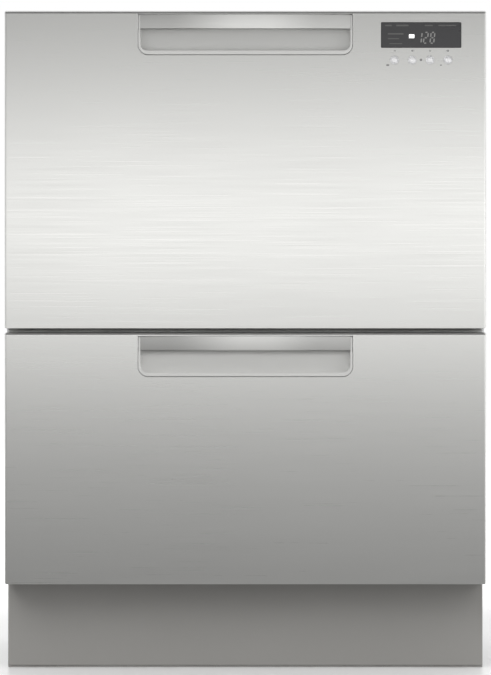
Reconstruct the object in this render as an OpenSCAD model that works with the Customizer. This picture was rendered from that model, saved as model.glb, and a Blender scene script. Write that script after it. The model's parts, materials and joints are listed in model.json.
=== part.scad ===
// Double dishwasher drawer: two tubs that slide out of one built-in cabinet on
// telescopic runners, each under its own drop-down lid, with a toe plate below.
// Millimetres. +Z is up, the drawer fronts face -Y, and the origin lies on the
// floor under the middle of the outline, with the feet screwed right in.

/* [Overall] */
// Width across the drawer fronts
product_w = 599; // [585:1:615]
// Height from the floor to the top of the upper front
product_h = 820; // [810:1:860]
// Depth from the drawer fronts to the rear edge of the cabinet
product_d = 573; // [565:1:600]

/* [Drawer fronts] */
// Height of the toe space under the lower front
toe_h = 107; // [104:1:116]
// Height of the lower drawer front
lower_front_h = 313; // [305:1:325]
// Gap between the two fronts
front_gap = 5; // [4:0.5:7]
// Thickness of a drawer front
front_t = 20; // [18:0.5:22]
// Sheet thickness of the stainless skin
skin_t = 1.2; // [0.8:0.1:1.5]
// Radius of the skin's folded edges
edge_r = 4; // [2:0.5:5]
// Radius of a front's corners
corner_r = 2; // [1:0.5:4]
// Thickness of the moulded liner behind the skin
liner_t = 1.5; // [1:0.1:2]

/* [Handle] */
// Width of the handle's window in the skin
handle_w = 267; // [240:1:290]
// Height of the handle's window
handle_h = 50; // [46:0.5:56]
// Strip of skin left above the window
handle_strip = 5; // [4:0.5:6]
// Radius of the window's lower corners
handle_corner_r = 12.5; // [8:0.5:14]
// Width of the flat rim round the recess
handle_rim = 3; // [2:0.5:4]
// Depth of the finger recess behind the front face
handle_depth = 29; // [24:0.5:30]
// Rise of the recess's curved lower wall
scoop_h = 20; // [14:1:24]
// Wall of the handle recess
pocket_wall = 1.5; // [1:0.1:2]
// Height of the grip bar
bar_h = 18; // [14:0.5:20]
// Thickness of the grip bar
bar_t = 5; // [4:0.5:7]
// How far the grip bar's ends lie behind its middle
bar_bow = 4; // [2:0.5:6]

/* [Controls] */
// Distance from the side of the front to the middle of the display
controls_inset = 81; // [78:1:90]
// Width of the display window
display_w = 100; // [90:1:104]
// Height of the display window
display_h = 32; // [26:0.5:34]
// Thickness of the display window
display_t = 2; // [1.5:0.1:2.5]
// Distance from the top of the front to the middle of the display
display_drop = 30.5; // [28:0.5:33]
// Distance from the top of the front to the middle of the buttons
button_drop = 61.5; // [60:0.5:66]
// Distance between neighbouring buttons
button_pitch = 22.2; // [20:0.2:24]
// Diameter of a button's head
button_d = 8.4; // [7:0.2:9.6]
// Travel of a button
button_travel = 1; // [0.6:0.1:1.4]
// Depth of the control module behind the front face
module_depth = 24; // [22:0.5:26]
// Wall of the control module round the display and buttons
module_wall = 3; // [2:0.5:8]

/* [Cabinet] */
// How far each front overhangs the side of the cabinet
side_inset = 2; // [1:0.5:4]
// Sheet thickness of the cabinet
sheet_t = 1.2; // [0.8:0.1:1.6]
// Gap between a closed front and the cabinet
front_clear = 2.5; // [2:0.5:4]
// How far the cabinet's top lies below the top of the upper front
top_drop = 2; // [1:0.5:2.5]
// Height of the base pan above the floor
base_h = 88; // [84:1:90]
// Sheet thickness of the base pan
pan_t = 1.5; // [1:0.1:2]
// Height of the base pan's lips
pan_lip = 14; // [10:1:16]
// How far the toe plate stands back from the fronts
toe_setback = 45; // [35:1:50]
// Gap between the toe plate and the floor
toe_clear = 2; // [1:0.5:4]
// Depth of the toe plate's side returns
toe_return = 40; // [20:1:60]
// Depth of the hem along the toe plate's foot
toe_hem = 10; // [6:1:14]
// Width of the cabinet's folded flanges
flange_w = 12; // [9:0.5:12]
// How far the back panel lies inside the rear edge
back_inset = 2.5; // [2.5:0.5:5]
// Height of the service opening above the base pan
service_h = 102; // [90:1:140]
// Height of the rail between the two drawer bays
cross_h = 12; // [8:0.5:12]
// Depth of the rail between the two drawer bays
cross_d = 20; // [15:1:30]
// Radius of the side fixing holes
fixing_hole_r = 2.75; // [2:0.25:3.5]
// Distance of the side fixing holes from the front edge of the cabinet
fixing_inset = 14; // [13:1:20]
// Height between the two fixing holes on one side
fixing_spacing = 600; // [500:10:620]
// Height of the lower fixing hole above the base pan
fixing_rise = 90; // [60:5:120]

/* [Feet] */
// Diameter of a foot's threaded stem
stem_d = 12; // [10:0.5:14]
// Diameter of a foot's pad
pad_d = 44; // [30:1:46]
// Height of a foot's pad
pad_h = 8; // [6:0.5:12]
// How far a foot screws out
foot_travel = 60; // [40:1:60]
// Distance of the feet from the side of the cabinet
foot_inset = 42; // [36:1:60]
// Gap between the front feet's pads and the toe plate's hem
foot_front = 4; // [2:1:20]
// Distance of the rear feet from the rear edge
foot_rear = 37; // [30:1:60]

/* [Runners] */
// Length of a runner
runner_l = 500; // [460:5:505]
// Height of a fixed runner
runner_h = 44; // [38:1:50]
// Depth of a fixed runner across the cabinet
runner_w = 12.5; // [11:0.5:13]
// Sheet thickness of the runners
runner_t = 1.5; // [1.2:0.1:1.8]
// Running gap between nested runner members
runner_gap = 0.5; // [0.3:0.1:0.8]
// Distance of the runner's middle below the tub's rim
runner_drop = 110; // [100:1:115]
// Distance that a drawer opens
drawer_travel = 500; // [480:5:510]

/* [Tub] */
// Space between the tub and the cabinet's side sheet
side_space = 16.3; // [16:0.1:18]
// Cavity between the front's liner and the tub
front_cavity = 34; // [32:0.5:40]
// Space behind the tub for the hose link
rear_space = 75; // [70:1:85]
// Wall of the tub
tub_wall = 3; // [2.5:0.1:4]
// Radius of the tub's upright corners
tub_corner_r = 40; // [25:1:45]
// Distance of the tub's rim below the top of its front
rim_drop = 35; // [35:0.5:38]
// Width of the tub's rim outside its wall
rim_w = 4; // [3:0.1:4]
// Height of the tub's rim
rim_h = 4; // [3:0.5:6]
// Height of the wash pump under the tub's floor
pump_h = 42; // [38:1:42]
// Distance from the bottom of the front to the bottom of the pump
pump_lift = 9; // [8:0.5:10]
// Diameter of the sump opening in the tub's floor
sump_d = 180; // [150:1:190]
// Diameter of the fixed spindle that the rotor and spray arm turn on
spindle_d = 16; // [12:0.5:18]
// Running clearance on the radius of the spindle and the hinge pins
spin_clear = 0.08; // [0.05:0.01:0.1]

/* [Lid] */
// How far a lid drops on to its tub
lid_travel = 10; // [6:0.5:10]
// Thickness of a lid
lid_t = 9; // [7:0.5:9]
// Height of a lid's seal
seal_h = 6; // [4:0.5:6]
// Gap between a dropped seal and the tub's rim
seal_clear = 0.3; // [0.2:0.1:0.5]
// Diameter of a lid's pull rod
rod_d = 5; // [4:0.5:6]

/* [Spray arm] */
// Height of a spray arm's hub
arm_hub_h = 20; // [16:1:22]
// Thickness of a spray arm's blades
arm_t = 12; // [9:0.5:14]
// Width of a blade at the hub
arm_root_w = 44; // [34:1:50]
// Width of a blade at its tip
arm_tip_w = 26; // [18:1:34]
// Gap between the tip of an arm and the tub
arm_clear = 20; // [12:1:30]
// Thickness of the filter plate
filter_t = 2.5; // [2:0.1:3]
// Diameter of the filter plate
filter_d = 230; // [200:1:250]

/* [Basket] */
// Gap between the basket and the tub's wall
basket_clear = 14; // [14:0.5:18]
// Thickness of the basket's wires
wire = 4; // [3:0.1:4]
// Height of the lower basket
lower_basket_h = 110; // [100:1:114]
// Height of the upper basket
upper_basket_h = 150; // [130:1:165]
// Height of the tines that hold plates
tine_h = 65; // [50:1:66]
// Distance between neighbouring lines of tines
line_pitch = 30; // [24:1:32]
// Number of lines of tines
lines = 9; // [7:1:9]
// Distance between neighbouring tines in a line
tine_pitch = 76; // [74:1:80]
// Diameter of the hinge rods in the basket
hinge_rod_d = 6; // [5:0.5:7]
// Length of a cup rack
cup_rack_l = 300; // [220:5:330]
// Width of a cup rack
cup_rack_w = 95; // [70:1:95]
// Height of a cup rack's hinge above the basket's floor
cup_rack_h = 78; // [76:1:82]
// Length of the cutlery basket
cutlery_l = 220; // [160:1:240]
// Width of the cutlery basket
cutlery_w = 76; // [60:1:80]
// Height of the cutlery basket
cutlery_h = 115; // [90:1:120]
// Wall of the cutlery basket
cutlery_wall = 2; // [1.5:0.1:2.5]

/* [Detergent dispenser] */
// Width of the dispenser's face plate
dispenser_w = 150; // [140:1:160]
// Height of the dispenser's face plate
dispenser_h = 58; // [54:1:62]
// Distance of the dispenser's middle below the tub's rim
dispenser_drop = 37; // [36:0.5:40]
// Depth of the dispenser's body in front of the tub
dispenser_depth = 18; // [16:0.5:20]
// Thickness of the dispenser's face plate
face_t = 2.5; // [2:0.1:3]
// Width of the detergent cup
cup_w = 68; // [56:1:72]
// Height of the detergent cup
cup_h = 34; // [28:1:36]
// Thickness of the dispenser's door
door_t = 3; // [2:0.1:4]

/* [Services] */
// Radius of the water inlet's thread
inlet_r = 13.2; // [10:0.1:14]
// Length of the water inlet's thread
inlet_l = 14; // [12:1:16]
// Radius of the drain spigot
drain_r = 10.5; // [8:0.1:12]
// Length of the drain spigot
drain_l = 24; // [20:1:28]
// Radius of the bore in the mains lead's bush
bush_bore_r = 4; // [3:0.1:5]
// Height of the service connections above the base pan
service_rise = 46; // [40:1:60]
// Diameter of the hoses between cabinet and tub
hose_d = 18; // [14:0.5:20]

/* [Hidden] */

LOWER = 0;
UPPER = 1;
eps = 0.01;
through = 1;       // how far a cutting tool runs past the face it cuts
weld_gap = 0.05;   // between flat grids of wire that are welded where they touch
slip = 0.3;        // side play of small moving pieces

// Cabinet planes
front_y = -product_d / 2;
front_back_y = front_y + front_t;
cab_y0 = front_back_y + front_clear;
cab_y1 = product_d / 2;
cab_x = product_w / 2 - side_inset;
inner_x = cab_x - sheet_t;
cab_top = product_h - top_drop;
back_y0 = cab_y1 - back_inset - sheet_t;
toe_y0 = front_y + toe_setback;
toe_back_y = toe_y0 + sheet_t;

// Levels of the two drawers, lower first
front_z0 = [toe_h, toe_h + lower_front_h + front_gap];
front_z1 = [toe_h + lower_front_h, product_h];
rim_z = [for (z = front_z1) z - rim_drop];
pump_z = [for (z = front_z0) z + pump_lift];
tub_z0 = [for (z = pump_z) z + pump_h];
floor_z = [for (z = tub_z0) z + tub_wall];
runner_z = [for (z = rim_z) z - runner_drop];
seal_z = [for (z = rim_z) z + seal_clear + lid_travel];
lid_z = [for (z = seal_z) z + seal_h];
basket_heights = [lower_basket_h, upper_basket_h];

// Tub plan
tub_x = inner_x - side_space;
tub_y0 = front_back_y + front_cavity;
tub_y1 = cab_y1 - rear_space;
tub_y = (tub_y0 + tub_y1) / 2;
tub_half_d = (tub_y1 - tub_y0) / 2;

// Runners
runner_y0 = cab_y0 + 4;
middle_h = runner_h - 2 * (runner_t + runner_gap);
inner_h = middle_h - 2 * (runner_t + runner_gap);
fixed_web_x = inner_x - runner_t;
middle_web_x = fixed_web_x - runner_gap - runner_t;
runner_tip_gap = 1;

// Lid and its rods
rod_x = inner_x - 7.3;
rod_slip = 0.1;
actuator_l = 60;
actuator_w = 13;
actuator_top = 10;     // below the rim
actuator_bottom = 62;  // below the rim
lug_w = 24;
lug_drop = 3;
lug_wall = 1.5;
rod_below = 35;        // how far a rod reaches into its actuator
motor_l = 24;
motor_h = 28;
motor_rise = 8;

// Under the basket
spindle_r = spindle_d / 2;
sump_r = sump_d / 2;
pump_wall = 6;
pump_base = 12;
pump_flange = 10;
arm_rise = 8;
arm_cap = 4;
arm_gap = 8;
arm_z = [for (z = floor_z) z + arm_rise];
basket_z = [for (z = arm_z) z + arm_hub_h + arm_gap];
arm_r = tub_half_d - tub_wall - arm_clear;
spigot_r = hose_d / 2;
spigot_x = sump_r + 22;
spigot_rise = 22;

// Basket plan
basket_x = tub_x - tub_wall - basket_clear;
basket_half_d = tub_half_d - tub_wall - basket_clear;
hinge_r = hinge_rod_d / 2;
block_t = 8;
block_w = hinge_rod_d + 6;
line_x = [for (i = [0:lines - 1]) (i - (lines - 1) / 2) * line_pitch];
lines_half_w = line_pitch * (lines - 1) / 2 + wire / 2;
cutlery_x0 = basket_x - wire - 8 - cutlery_w;
cutlery_y0 = tub_y - basket_half_d + wire + 8;
cutlery_rows = 4;

// Handle window, measured from the top of a front
window_x = handle_w / 2;
recess_x = window_x - handle_rim;
bar_r = (recess_x * recess_x + bar_bow * bar_bow) / (2 * bar_bow);

// Controls
display_x = product_w / 2 - controls_inset;
display_z = product_h - display_drop;
button_z = product_h - button_drop;
buttons = 4;
head_slip = 0.3;
head_sink = 0.2;
collar_r = button_d / 2 + 1.2;
collar_t = 1.2;
tail_r = 2.5;
module_y0 = front_y + 0.3 + display_t;
module_x0 = display_x - display_w / 2 - module_wall;
module_x1 = display_x + display_w / 2 + module_wall;
module_z0 = button_z - collar_r - module_wall;
module_z1 = display_z + display_h / 2 + module_wall;
button_recess = 2.5 + button_travel;

// Feet
foot_x = cab_x - foot_inset;
foot_y = [toe_back_y + toe_hem + foot_front + pad_d / 2, cab_y1 - foot_rear];
boss_r = stem_d / 2 + 5;
boss_below = 16;
boss_above = 9;
stem_top = base_h + foot_travel;
nut_h = 8;

// Dispenser, in the tub's front wall
dispenser_x = -75;
face_y = tub_y0 + tub_wall;
door_x = dispenser_x - dispenser_w / 2 + 12 + cup_w / 2;
door_w = cup_w + 6;
door_h = cup_h + 6;
pin_r = 1.5;
pin_y = face_y + face_t + door_t;
lug_t = 5;
cap_r = 13;
cap_t = 4;

// Service connections on the base pan
valve_x = -80;
drain_x = 195;
bush_x = 232;
pan_floor = base_h + pan_t;
service_z = pan_floor + service_rise;
block_y0 = back_y0 - 50;
block_y1 = back_y0 - 16;
valve_w = 48;
valve_above = 20;
elbow_w = 32;
elbow_t = 24;
bush_w = 28;
bush_t = 10;
bush_y1 = back_y0 - 2;
thread_wall = 3.5;
spigot_wall = 2;
bore_past = 8;         // how far a fitting's bore runs past its pipe

// Hose routes: hand-picked points between the straight ends at the fittings and pumps.
// The first two lists are offsets from the middle of the space behind the tubs, at the
// height of the base pan or of the drawer's pump; the last one leads forward under a tub,
// as [x, share of the way, height above the pump].
hose_steps = 2;
hose_sides = 8;
hose_bend = 30;
hose_y = (tub_y1 + back_y0) / 2;
hose_start_rise = 34;
foot_of_riser = [[-160, 0, 35], [-200, 4, 42], [-226, 10, 64], [-232, 13, 105], [-232, 15, 190]];
riser_route = [[-232, 15, -64], [-232, 15, 26], [-230, 13, 106], [-212, 7, 166], [-170, 2, 204],
  [-110, -1, 218], [-50, -1, 214], [0, -1, 186], [40, -1, 138], [76, -1, 82], [112, -2, 40]];
floor_route = [[-80, -1, 104], [-79, -1, 154], [-64, -1, 198], [-30, -1, 220], [6, -1, 214],
  [34, -1, 186], [48, -1, 144], [58, -1, 99], [76, -1, 58], [106, -2, 30]];
forward_route = [[142, 0.05, 22], [163, 0.19, 20], [171, 0.4, 20], [172, 0.65, 20], [172, 0.87, 21]];

// ---------- outlines ----------

// Points on an arc about [x, y], from angle a to angle b
function arc(x, y, r, a, b, n = 6) =
  [for (i = [0:n]) [x + r * cos(a + (b - a) * i / n), y + r * sin(a + (b - a) * i / n)]];

// Rectangle with round corners, counter-clockwise; r holds the lower and the upper radius
function rounded(x0, y0, x1, y1, low, high, n = 6) = concat(
  arc(x0 + low, y0 + low, low, 180, 270, n), arc(x1 - low, y0 + low, low, 270, 360, n),
  arc(x1 - high, y1 - high, high, 0, 90, n), arc(x0 + high, y1 - high, high, 90, 180, n));

// The tub's plan, grown by g
function tub_plan(g) = rounded(-tub_x - g, tub_y0 - g, tub_x + g, tub_y1 + g,
  tub_corner_r + g, tub_corner_r + g, 8);

module box(a, b) {
  translate(a) cube(b - a);
}

// Extrusions of an outline: upright, across (outline in Y and Z), front to back (X and Z)
module upright(points, z0, z1) {
  translate([0, 0, z0]) linear_extrude(z1 - z0) polygon(points);
}

module across(points, x0, x1) {
  translate([x0, 0, 0]) rotate([90, 0, 90]) linear_extrude(x1 - x0) polygon(points);
}

module fore_aft(points, y0, y1) {
  translate([0, y1, 0]) rotate([90, 0, 0]) linear_extrude(y1 - y0) polygon(points);
}

module both_sides() {
  children();
  mirror([1, 0, 0]) children();
}

// ---------- cabinet ----------

screw_r = 2;
screw_hole_r = screw_r + 0.1;
screw_head_r = 4;
screw_head_h = 2;
runner_screw_y = [runner_y0 + 60, runner_y0 + runner_l - 60];
back_screw_z = [base_h + service_h + 30, (base_h + service_h + cab_top) / 2, cab_top - 40];
back_screw_x = cab_x - flange_w / 2;

module side_web() {
  across([[cab_y0, toe_h], [toe_back_y, toe_h], [toe_back_y, base_h], [cab_y1, base_h],
    [cab_y1, cab_top], [cab_y0, cab_top]], inner_x, cab_x);
}

module front_flange() {
  difference() {
    box([cab_x - flange_w, cab_y0, toe_h], [inner_x + eps, cab_y0 + sheet_t, cab_top]);
    for (z = runner_z)
      box([cab_x - flange_w - through, cab_y0 - through, z - runner_h / 2 - 2],
        [inner_x - eps, cab_y0 + sheet_t + through, z + runner_h / 2 + 2]);
  }
}

// Right-hand side, seen from the front
module side_panel() {
  difference() {
    union() {
      side_web();
      front_flange();
      box([cab_x - flange_w, back_y0 - sheet_t, base_h + pan_lip + 2],
        [inner_x + eps, back_y0, cab_top - sheet_t]);
    }
    for (z = runner_z, y = runner_screw_y)
      translate([inner_x - through, y, z]) rotate([0, 90, 0])
        cylinder(r = screw_hole_r, h = sheet_t + 2 * through, $fn = 24);
    for (z = back_screw_z)
      translate([back_screw_x, back_y0 + through, z]) rotate([90, 0, 0])
        cylinder(r = screw_hole_r, h = sheet_t + 2 * through, $fn = 24);
    for (z = [0, fixing_spacing])
      translate([inner_x - through, cab_y0 + fixing_inset, base_h + fixing_rise + z])
        rotate([0, 90, 0]) cylinder(r = fixing_hole_r, h = sheet_t + 2 * through, $fn = 32);
  }
}

module left_side_panel() { color("silver") mirror([1, 0, 0]) side_panel(); }
module right_side_panel() { color("silver") side_panel(); }

module top_panel() {
  lip_h = 12;
  rib_w = 14;
  rib_h = 1.2;
  color("silver") {
    box([-inner_x, cab_y0 + sheet_t, cab_top - sheet_t], [inner_x, back_y0, cab_top]);
    both_sides()
      box([inner_x - sheet_t, cab_y0 + 2 * flange_w, cab_top - sheet_t - lip_h],
        [inner_x, back_y0 - 2 * flange_w, cab_top - sheet_t + eps]);
    for (x = [-0.6, -0.2, 0.2, 0.6])
      box([x * inner_x - rib_w / 2, tub_y0, cab_top - eps],
        [x * inner_x + rib_w / 2, tub_y1, cab_top + rib_h - eps]);
  }
}

module back_panel() {
  rib_w = 16;
  rib_h = 1.5;
  z0 = base_h + service_h;
  color("silver") difference() {
    union() {
      box([-inner_x, back_y0, z0], [inner_x, back_y0 + sheet_t, cab_top]);
      for (x = [-0.5, 0, 0.5])
        box([x * inner_x - rib_w / 2, back_y0 + sheet_t - eps, z0 + 40],
          [x * inner_x + rib_w / 2, back_y0 + sheet_t + rib_h - eps, cab_top - 40]);
    }
    for (s = [-1, 1], z = back_screw_z)
      translate([s * back_screw_x, back_y0 + sheet_t + through, z]) rotate([90, 0, 0])
        cylinder(r = screw_hole_r, h = sheet_t + 2 * through, $fn = 24);
  }
}

module base_pan() {
  top = base_h + pan_lip;
  color("gainsboro") difference() {
    union() {
      difference() {
        box([-inner_x, toe_back_y, base_h], [inner_x, back_y0, top]);
        box([-inner_x + pan_t, toe_back_y + pan_t, pan_floor],
          [inner_x - pan_t, back_y0 - pan_t, top + through]);
      }
      for (x = [-foot_x, foot_x], y = foot_y)
        translate([x, y, base_h - boss_below])
          cylinder(r = boss_r, h = boss_below + boss_above, $fn = 32);
    }
    for (x = [-foot_x, foot_x], y = foot_y)
      translate([x, y, base_h - boss_below - through])
        cylinder(r = stem_d / 2 + spin_clear, h = boss_below + boss_above + 2 * through, $fn = 48);
  }
}

module cross_rail() {
  z0 = front_z1[LOWER] - 3;
  z1 = z0 + cross_h;
  y0 = cab_y0 + sheet_t;
  color("silver") difference() {
    box([-inner_x, y0, z0], [inner_x, y0 + cross_d, z1]);
    box([-inner_x - through, y0 + sheet_t, z0 + sheet_t],
      [inner_x + through, y0 + cross_d + through, z1 - sheet_t]);
  }
}

module toe_plate() {
  top = toe_h - 1;
  color("dimgray") {
    box([-cab_x, toe_y0, toe_clear], [cab_x, toe_back_y, top]);
    both_sides()
      box([cab_x - sheet_t, toe_back_y - eps, toe_clear], [cab_x, toe_y0 + toe_return, base_h - 0.5]);
    box([-cab_x, toe_back_y - eps, toe_clear], [cab_x, toe_back_y + toe_hem, toe_clear + sheet_t]);
  }
}

module cabinet_screws() {
  color("darkgray") {
    both_sides() for (z = runner_z, y = runner_screw_y)
      translate([fixed_web_x, y, z]) rotate([0, 90, 0])
        screw(runner_t + sheet_t);
    for (s = [-1, 1], z = back_screw_z)
      translate([s * back_screw_x, back_y0 - sheet_t, z]) rotate([-90, 0, 0])
        screw(2 * sheet_t);
  }
}

// Shank from the origin up to grip, with its head above
module screw(grip) {
  cylinder(r = screw_r, h = grip + eps, $fn = 24);
  translate([0, 0, grip]) cylinder(r1 = screw_head_r, r2 = screw_head_r - 1, h = screw_head_h, $fn = 24);
}

// ---------- feet ----------

module foot(x, y) {
  color("dimgray") translate([x, y, 0]) {
    cylinder(r = pad_d / 2, h = pad_h, $fn = 48);
    translate([0, 0, pad_h - eps]) cylinder(r = stem_d / 2 + 4, h = nut_h, $fn = 6);
    cylinder(r = stem_d / 2, h = stem_top, $fn = 48);
  }
}

module foot_front_left() { foot(-foot_x, foot_y[0]); }
module foot_front_right() { foot(foot_x, foot_y[0]); }
module foot_rear_left() { foot(-foot_x, foot_y[1]); }
module foot_rear_right() { foot(foot_x, foot_y[1]); }

// ---------- runners ----------

// A channel along Y with its web at x and its flanges reaching towards tip_x
module channel(web_x, tip_x, h, z, y0, y1) {
  s = tip_x > web_x ? 1 : -1;
  t = runner_t * s;
  fore_aft([[web_x, z - h / 2], [tip_x, z - h / 2], [tip_x, z - h / 2 + runner_t],
    [web_x + t, z - h / 2 + runner_t], [web_x + t, z + h / 2 - runner_t],
    [tip_x, z + h / 2 - runner_t], [tip_x, z + h / 2], [web_x, z + h / 2]], y0, y1);
}

module fixed_runners() {
  color("lightgray") both_sides() for (z = runner_z)
    difference() {
      channel(inner_x, inner_x - runner_w, runner_h, z, runner_y0, runner_y0 + runner_l);
      for (y = runner_screw_y)
        translate([fixed_web_x - through, y, z]) rotate([0, 90, 0])
          cylinder(r = screw_hole_r, h = runner_t + 2 * through, $fn = 24);
    }
}

module middle_runners(d) {
  color("lightgray") both_sides()
    channel(middle_web_x + runner_t, tub_x + runner_t + 2 * runner_gap, middle_h,
      runner_z[d], runner_y0, runner_y0 + runner_l);
}

module inner_runners(d) {
  color("lightgray") both_sides()
    channel(tub_x, middle_web_x - runner_tip_gap, inner_h, runner_z[d],
      tub_y0 + tub_corner_r / 4, tub_y1 - tub_corner_r / 4);
}

module upper_middle_runners() { middle_runners(UPPER); }
module lower_middle_runners() { middle_runners(LOWER); }
module upper_inner_runners() { inner_runners(UPPER); }
module lower_inner_runners() { inner_runners(LOWER); }

// ---------- tub ----------

module tub(d) {
  post = 16;
  horn_w = 24;
  horn_x = tub_x - tub_corner_r - 14;
  z_face = rim_z[d] - dispenser_drop;
  color("whitesmoke") for (s = [-1, 1])
    box([s * horn_x - horn_w / 2, front_back_y, floor_z[d]],
      [s * horn_x + horn_w / 2, tub_y0 - weld_gap, rim_z[d] - 2 * dispenser_drop]);
  color("whitesmoke") difference() {
    union() {
      difference() {
        union() {
          upright(tub_plan(0), tub_z0[d], rim_z[d]);
          upright(tub_plan(rim_w), rim_z[d] - rim_h, rim_z[d]);
        }
        upright(tub_plan(-tub_wall), floor_z[d], rim_z[d] + through);
      }
      for (sx = [-1, 1], sy = [-1, 1])
        translate([sx * (basket_x - post / 2), tub_y + sy * (basket_half_d - post / 2), 0])
          box([-post / 2, -post / 2, floor_z[d] - eps], [post / 2, post / 2, basket_z[d]]);
    }
    translate([0, tub_y, tub_z0[d] - through])
      cylinder(r = sump_r, h = tub_wall + 2 * through, $fn = 96);
    box([dispenser_x - dispenser_w / 2 + 6, tub_y0 - through, z_face - dispenser_h / 2 + 5],
      [dispenser_x + dispenser_w / 2 - 6, face_y + through, z_face + dispenser_h / 2 - 5]);
  }
}

module upper_tub() { tub(UPPER); }
module lower_tub() { tub(LOWER); }

// ---------- drawer front ----------

// The window's outline in X and Z, drawn in by g, with its top edge moved down by drop
function window_outline(d, g, drop) = rounded(-window_x + g, front_z1[d] - handle_strip - handle_h + g,
  window_x - g, front_z1[d] - handle_strip - drop, handle_corner_r - g, 0.5);

// A front's outline in X and Z, drawn in by g
function front_outline(d, g) = rounded(-product_w / 2 + g, front_z0[d] + g,
  product_w / 2 - g, front_z1[d] - g, max(corner_r - g, 0.5), max(corner_r - g, 0.5), 4);

// The skin's outside, drawn in by g, with its folded edges round
module skin_body(d, g) {
  r = max(edge_r - g, 0.5);
  x = product_w / 2 - g;
  y0 = front_y + g;
  y1 = front_back_y + (g > 0 ? through : 0);
  intersection() {
    upright(concat(arc(-x + r, y0 + r, r, 180, 270), arc(x - r, y0 + r, r, 270, 360),
      [[x, y1], [-x, y1]]), front_z0[d] + g, front_z1[d] - g);
    across(concat(arc(y0 + r, front_z1[d] - g - r, r, 90, 180),
      arc(y0 + r, front_z0[d] + g + r, r, 180, 270),
      [[y1, front_z0[d] + g], [y1, front_z1[d] - g]]), -x, x);
    fore_aft(front_outline(d, g), y0, y1);
  }
}

module front_skin(d) {
  color("lightgray") difference() {
    skin_body(d, 0);
    skin_body(d, skin_t);
    fore_aft(window_outline(d, 0, 0), front_y - through, front_y + skin_t + through);
    if (d == UPPER) {
      box([display_x - display_w / 2, front_y - through, display_z - display_h / 2],
        [display_x + display_w / 2, front_y + skin_t + through, display_z + display_h / 2]);
      for (i = [0:buttons - 1])
        translate([button_x(i), front_y + skin_t + through, button_z]) rotate([90, 0, 0])
          cylinder(r = button_d / 2 + head_slip, h = skin_t + 2 * through, $fn = 48);
    }
  }
}

module upper_front_skin() { front_skin(UPPER); }
module lower_front_skin() { front_skin(LOWER); }

module front_liner(d) {
  y0 = front_back_y - liner_t;
  color("gray") difference() {
    fore_aft(front_outline(d, skin_t), y0, front_back_y);
    box([-window_x - 1, y0 - through, front_z1[d] - handle_strip - handle_h - 1],
      [window_x + 1, front_back_y + through, front_z1[d]]);
    if (d == UPPER)
      box([module_x0, y0 - through, module_z0], [module_x1, front_back_y + through, module_z1]);
  }
}

module upper_front_liner() { front_liner(UPPER); }
module lower_front_liner() { front_liner(LOWER); }

bar_z1 = [for (z = front_z1) z - handle_strip];
bar_z0 = [for (z = bar_z1) z - bar_h];

// The hollow of the recess in Y and Z: a quarter ellipse up from the rim, then straight
function scoop(d) = let (z = front_z1[d] - handle_strip - handle_h + handle_rim) concat(
  [for (i = [0:8]) [front_y + handle_depth * sin(90 * i / 8), z + scoop_h * (1 - cos(90 * i / 8))]],
  [[front_y + handle_depth, front_z1[d] - handle_strip - pocket_wall],
   [front_y - through, front_z1[d] - handle_strip - pocket_wall], [front_y - through, z]]);

module handle_recess(d) {
  z1 = front_z1[d] - handle_strip;
  color("silver") difference() {
    fore_aft(window_outline(d, 0, 0), front_y + 0.3, front_y + handle_depth + pocket_wall);
    intersection() {
      across(scoop(d), -recess_x, recess_x);
      fore_aft(window_outline(d, handle_rim, pocket_wall), front_y - 2 * through,
        front_y + handle_depth + through);
    }
    box([-recess_x, front_y - through, bar_z0[d]],
      [recess_x, front_y + bar_bow + bar_t, z1 + through]);
  }
}

module upper_handle_recess() { handle_recess(UPPER); }
module lower_handle_recess() { handle_recess(LOWER); }

// The grip's plan bows forward in the middle
module grip_bar(d) {
  half = asin(recess_x / bar_r);
  color("lightgray") upright(concat(
    arc(0, front_y + bar_r, bar_r, 270 - half, 270 + half, 20),
    [for (p = arc(0, front_y + bar_r + bar_t, bar_r, 270 + half, 270 - half, 20)) p]),
    bar_z0[d], bar_z1[d]);
}

module upper_grip_bar() { grip_bar(UPPER); }
module lower_grip_bar() { grip_bar(LOWER); }

// ---------- controls ----------

function button_x(i) = display_x + (i - (buttons - 1) / 2) * button_pitch;

module display_window() {
  color([0.16, 0.16, 0.17])
    box([display_x - display_w / 2, front_y + 0.3, display_z - display_h / 2],
      [display_x + display_w / 2, front_y + 0.3 + display_t, display_z + display_h / 2]);
}

module control_module() {
  color("dimgray") difference() {
    box([module_x0, module_y0, module_z0], [module_x1, front_y + module_depth, module_z1]);
    for (i = [0:buttons - 1])
      translate([button_x(i), module_y0 + button_recess, button_z]) rotate([90, 0, 0])
        cylinder(r = collar_r + slip, h = button_recess + through, $fn = 48);
  }
}

// Head in the skin's hole, a collar that keeps it in, and a tail on the switch
module button(i) {
  collar_y = front_y + skin_t + 0.2;
  color("white") translate([button_x(i), 0, button_z]) {
    translate([0, collar_y + eps, 0]) rotate([90, 0, 0])
      cylinder(r = button_d / 2, h = collar_y - front_y - head_sink + eps, $fn = 48);
    translate([0, collar_y + collar_t, 0]) rotate([90, 0, 0])
      cylinder(r = collar_r, h = collar_t, $fn = 48);
    translate([0, module_y0 + button_recess - button_travel - slip, 0]) rotate([90, 0, 0])
      cylinder(r = tail_r, h = module_y0 + button_recess - button_travel - slip - collar_y, $fn = 32);
  }
}

module power_button() { button(0); }
module program_button() { button(1); }
module option_button() { button(2); }
module start_button() { button(3); }

// ---------- lid ----------

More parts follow.
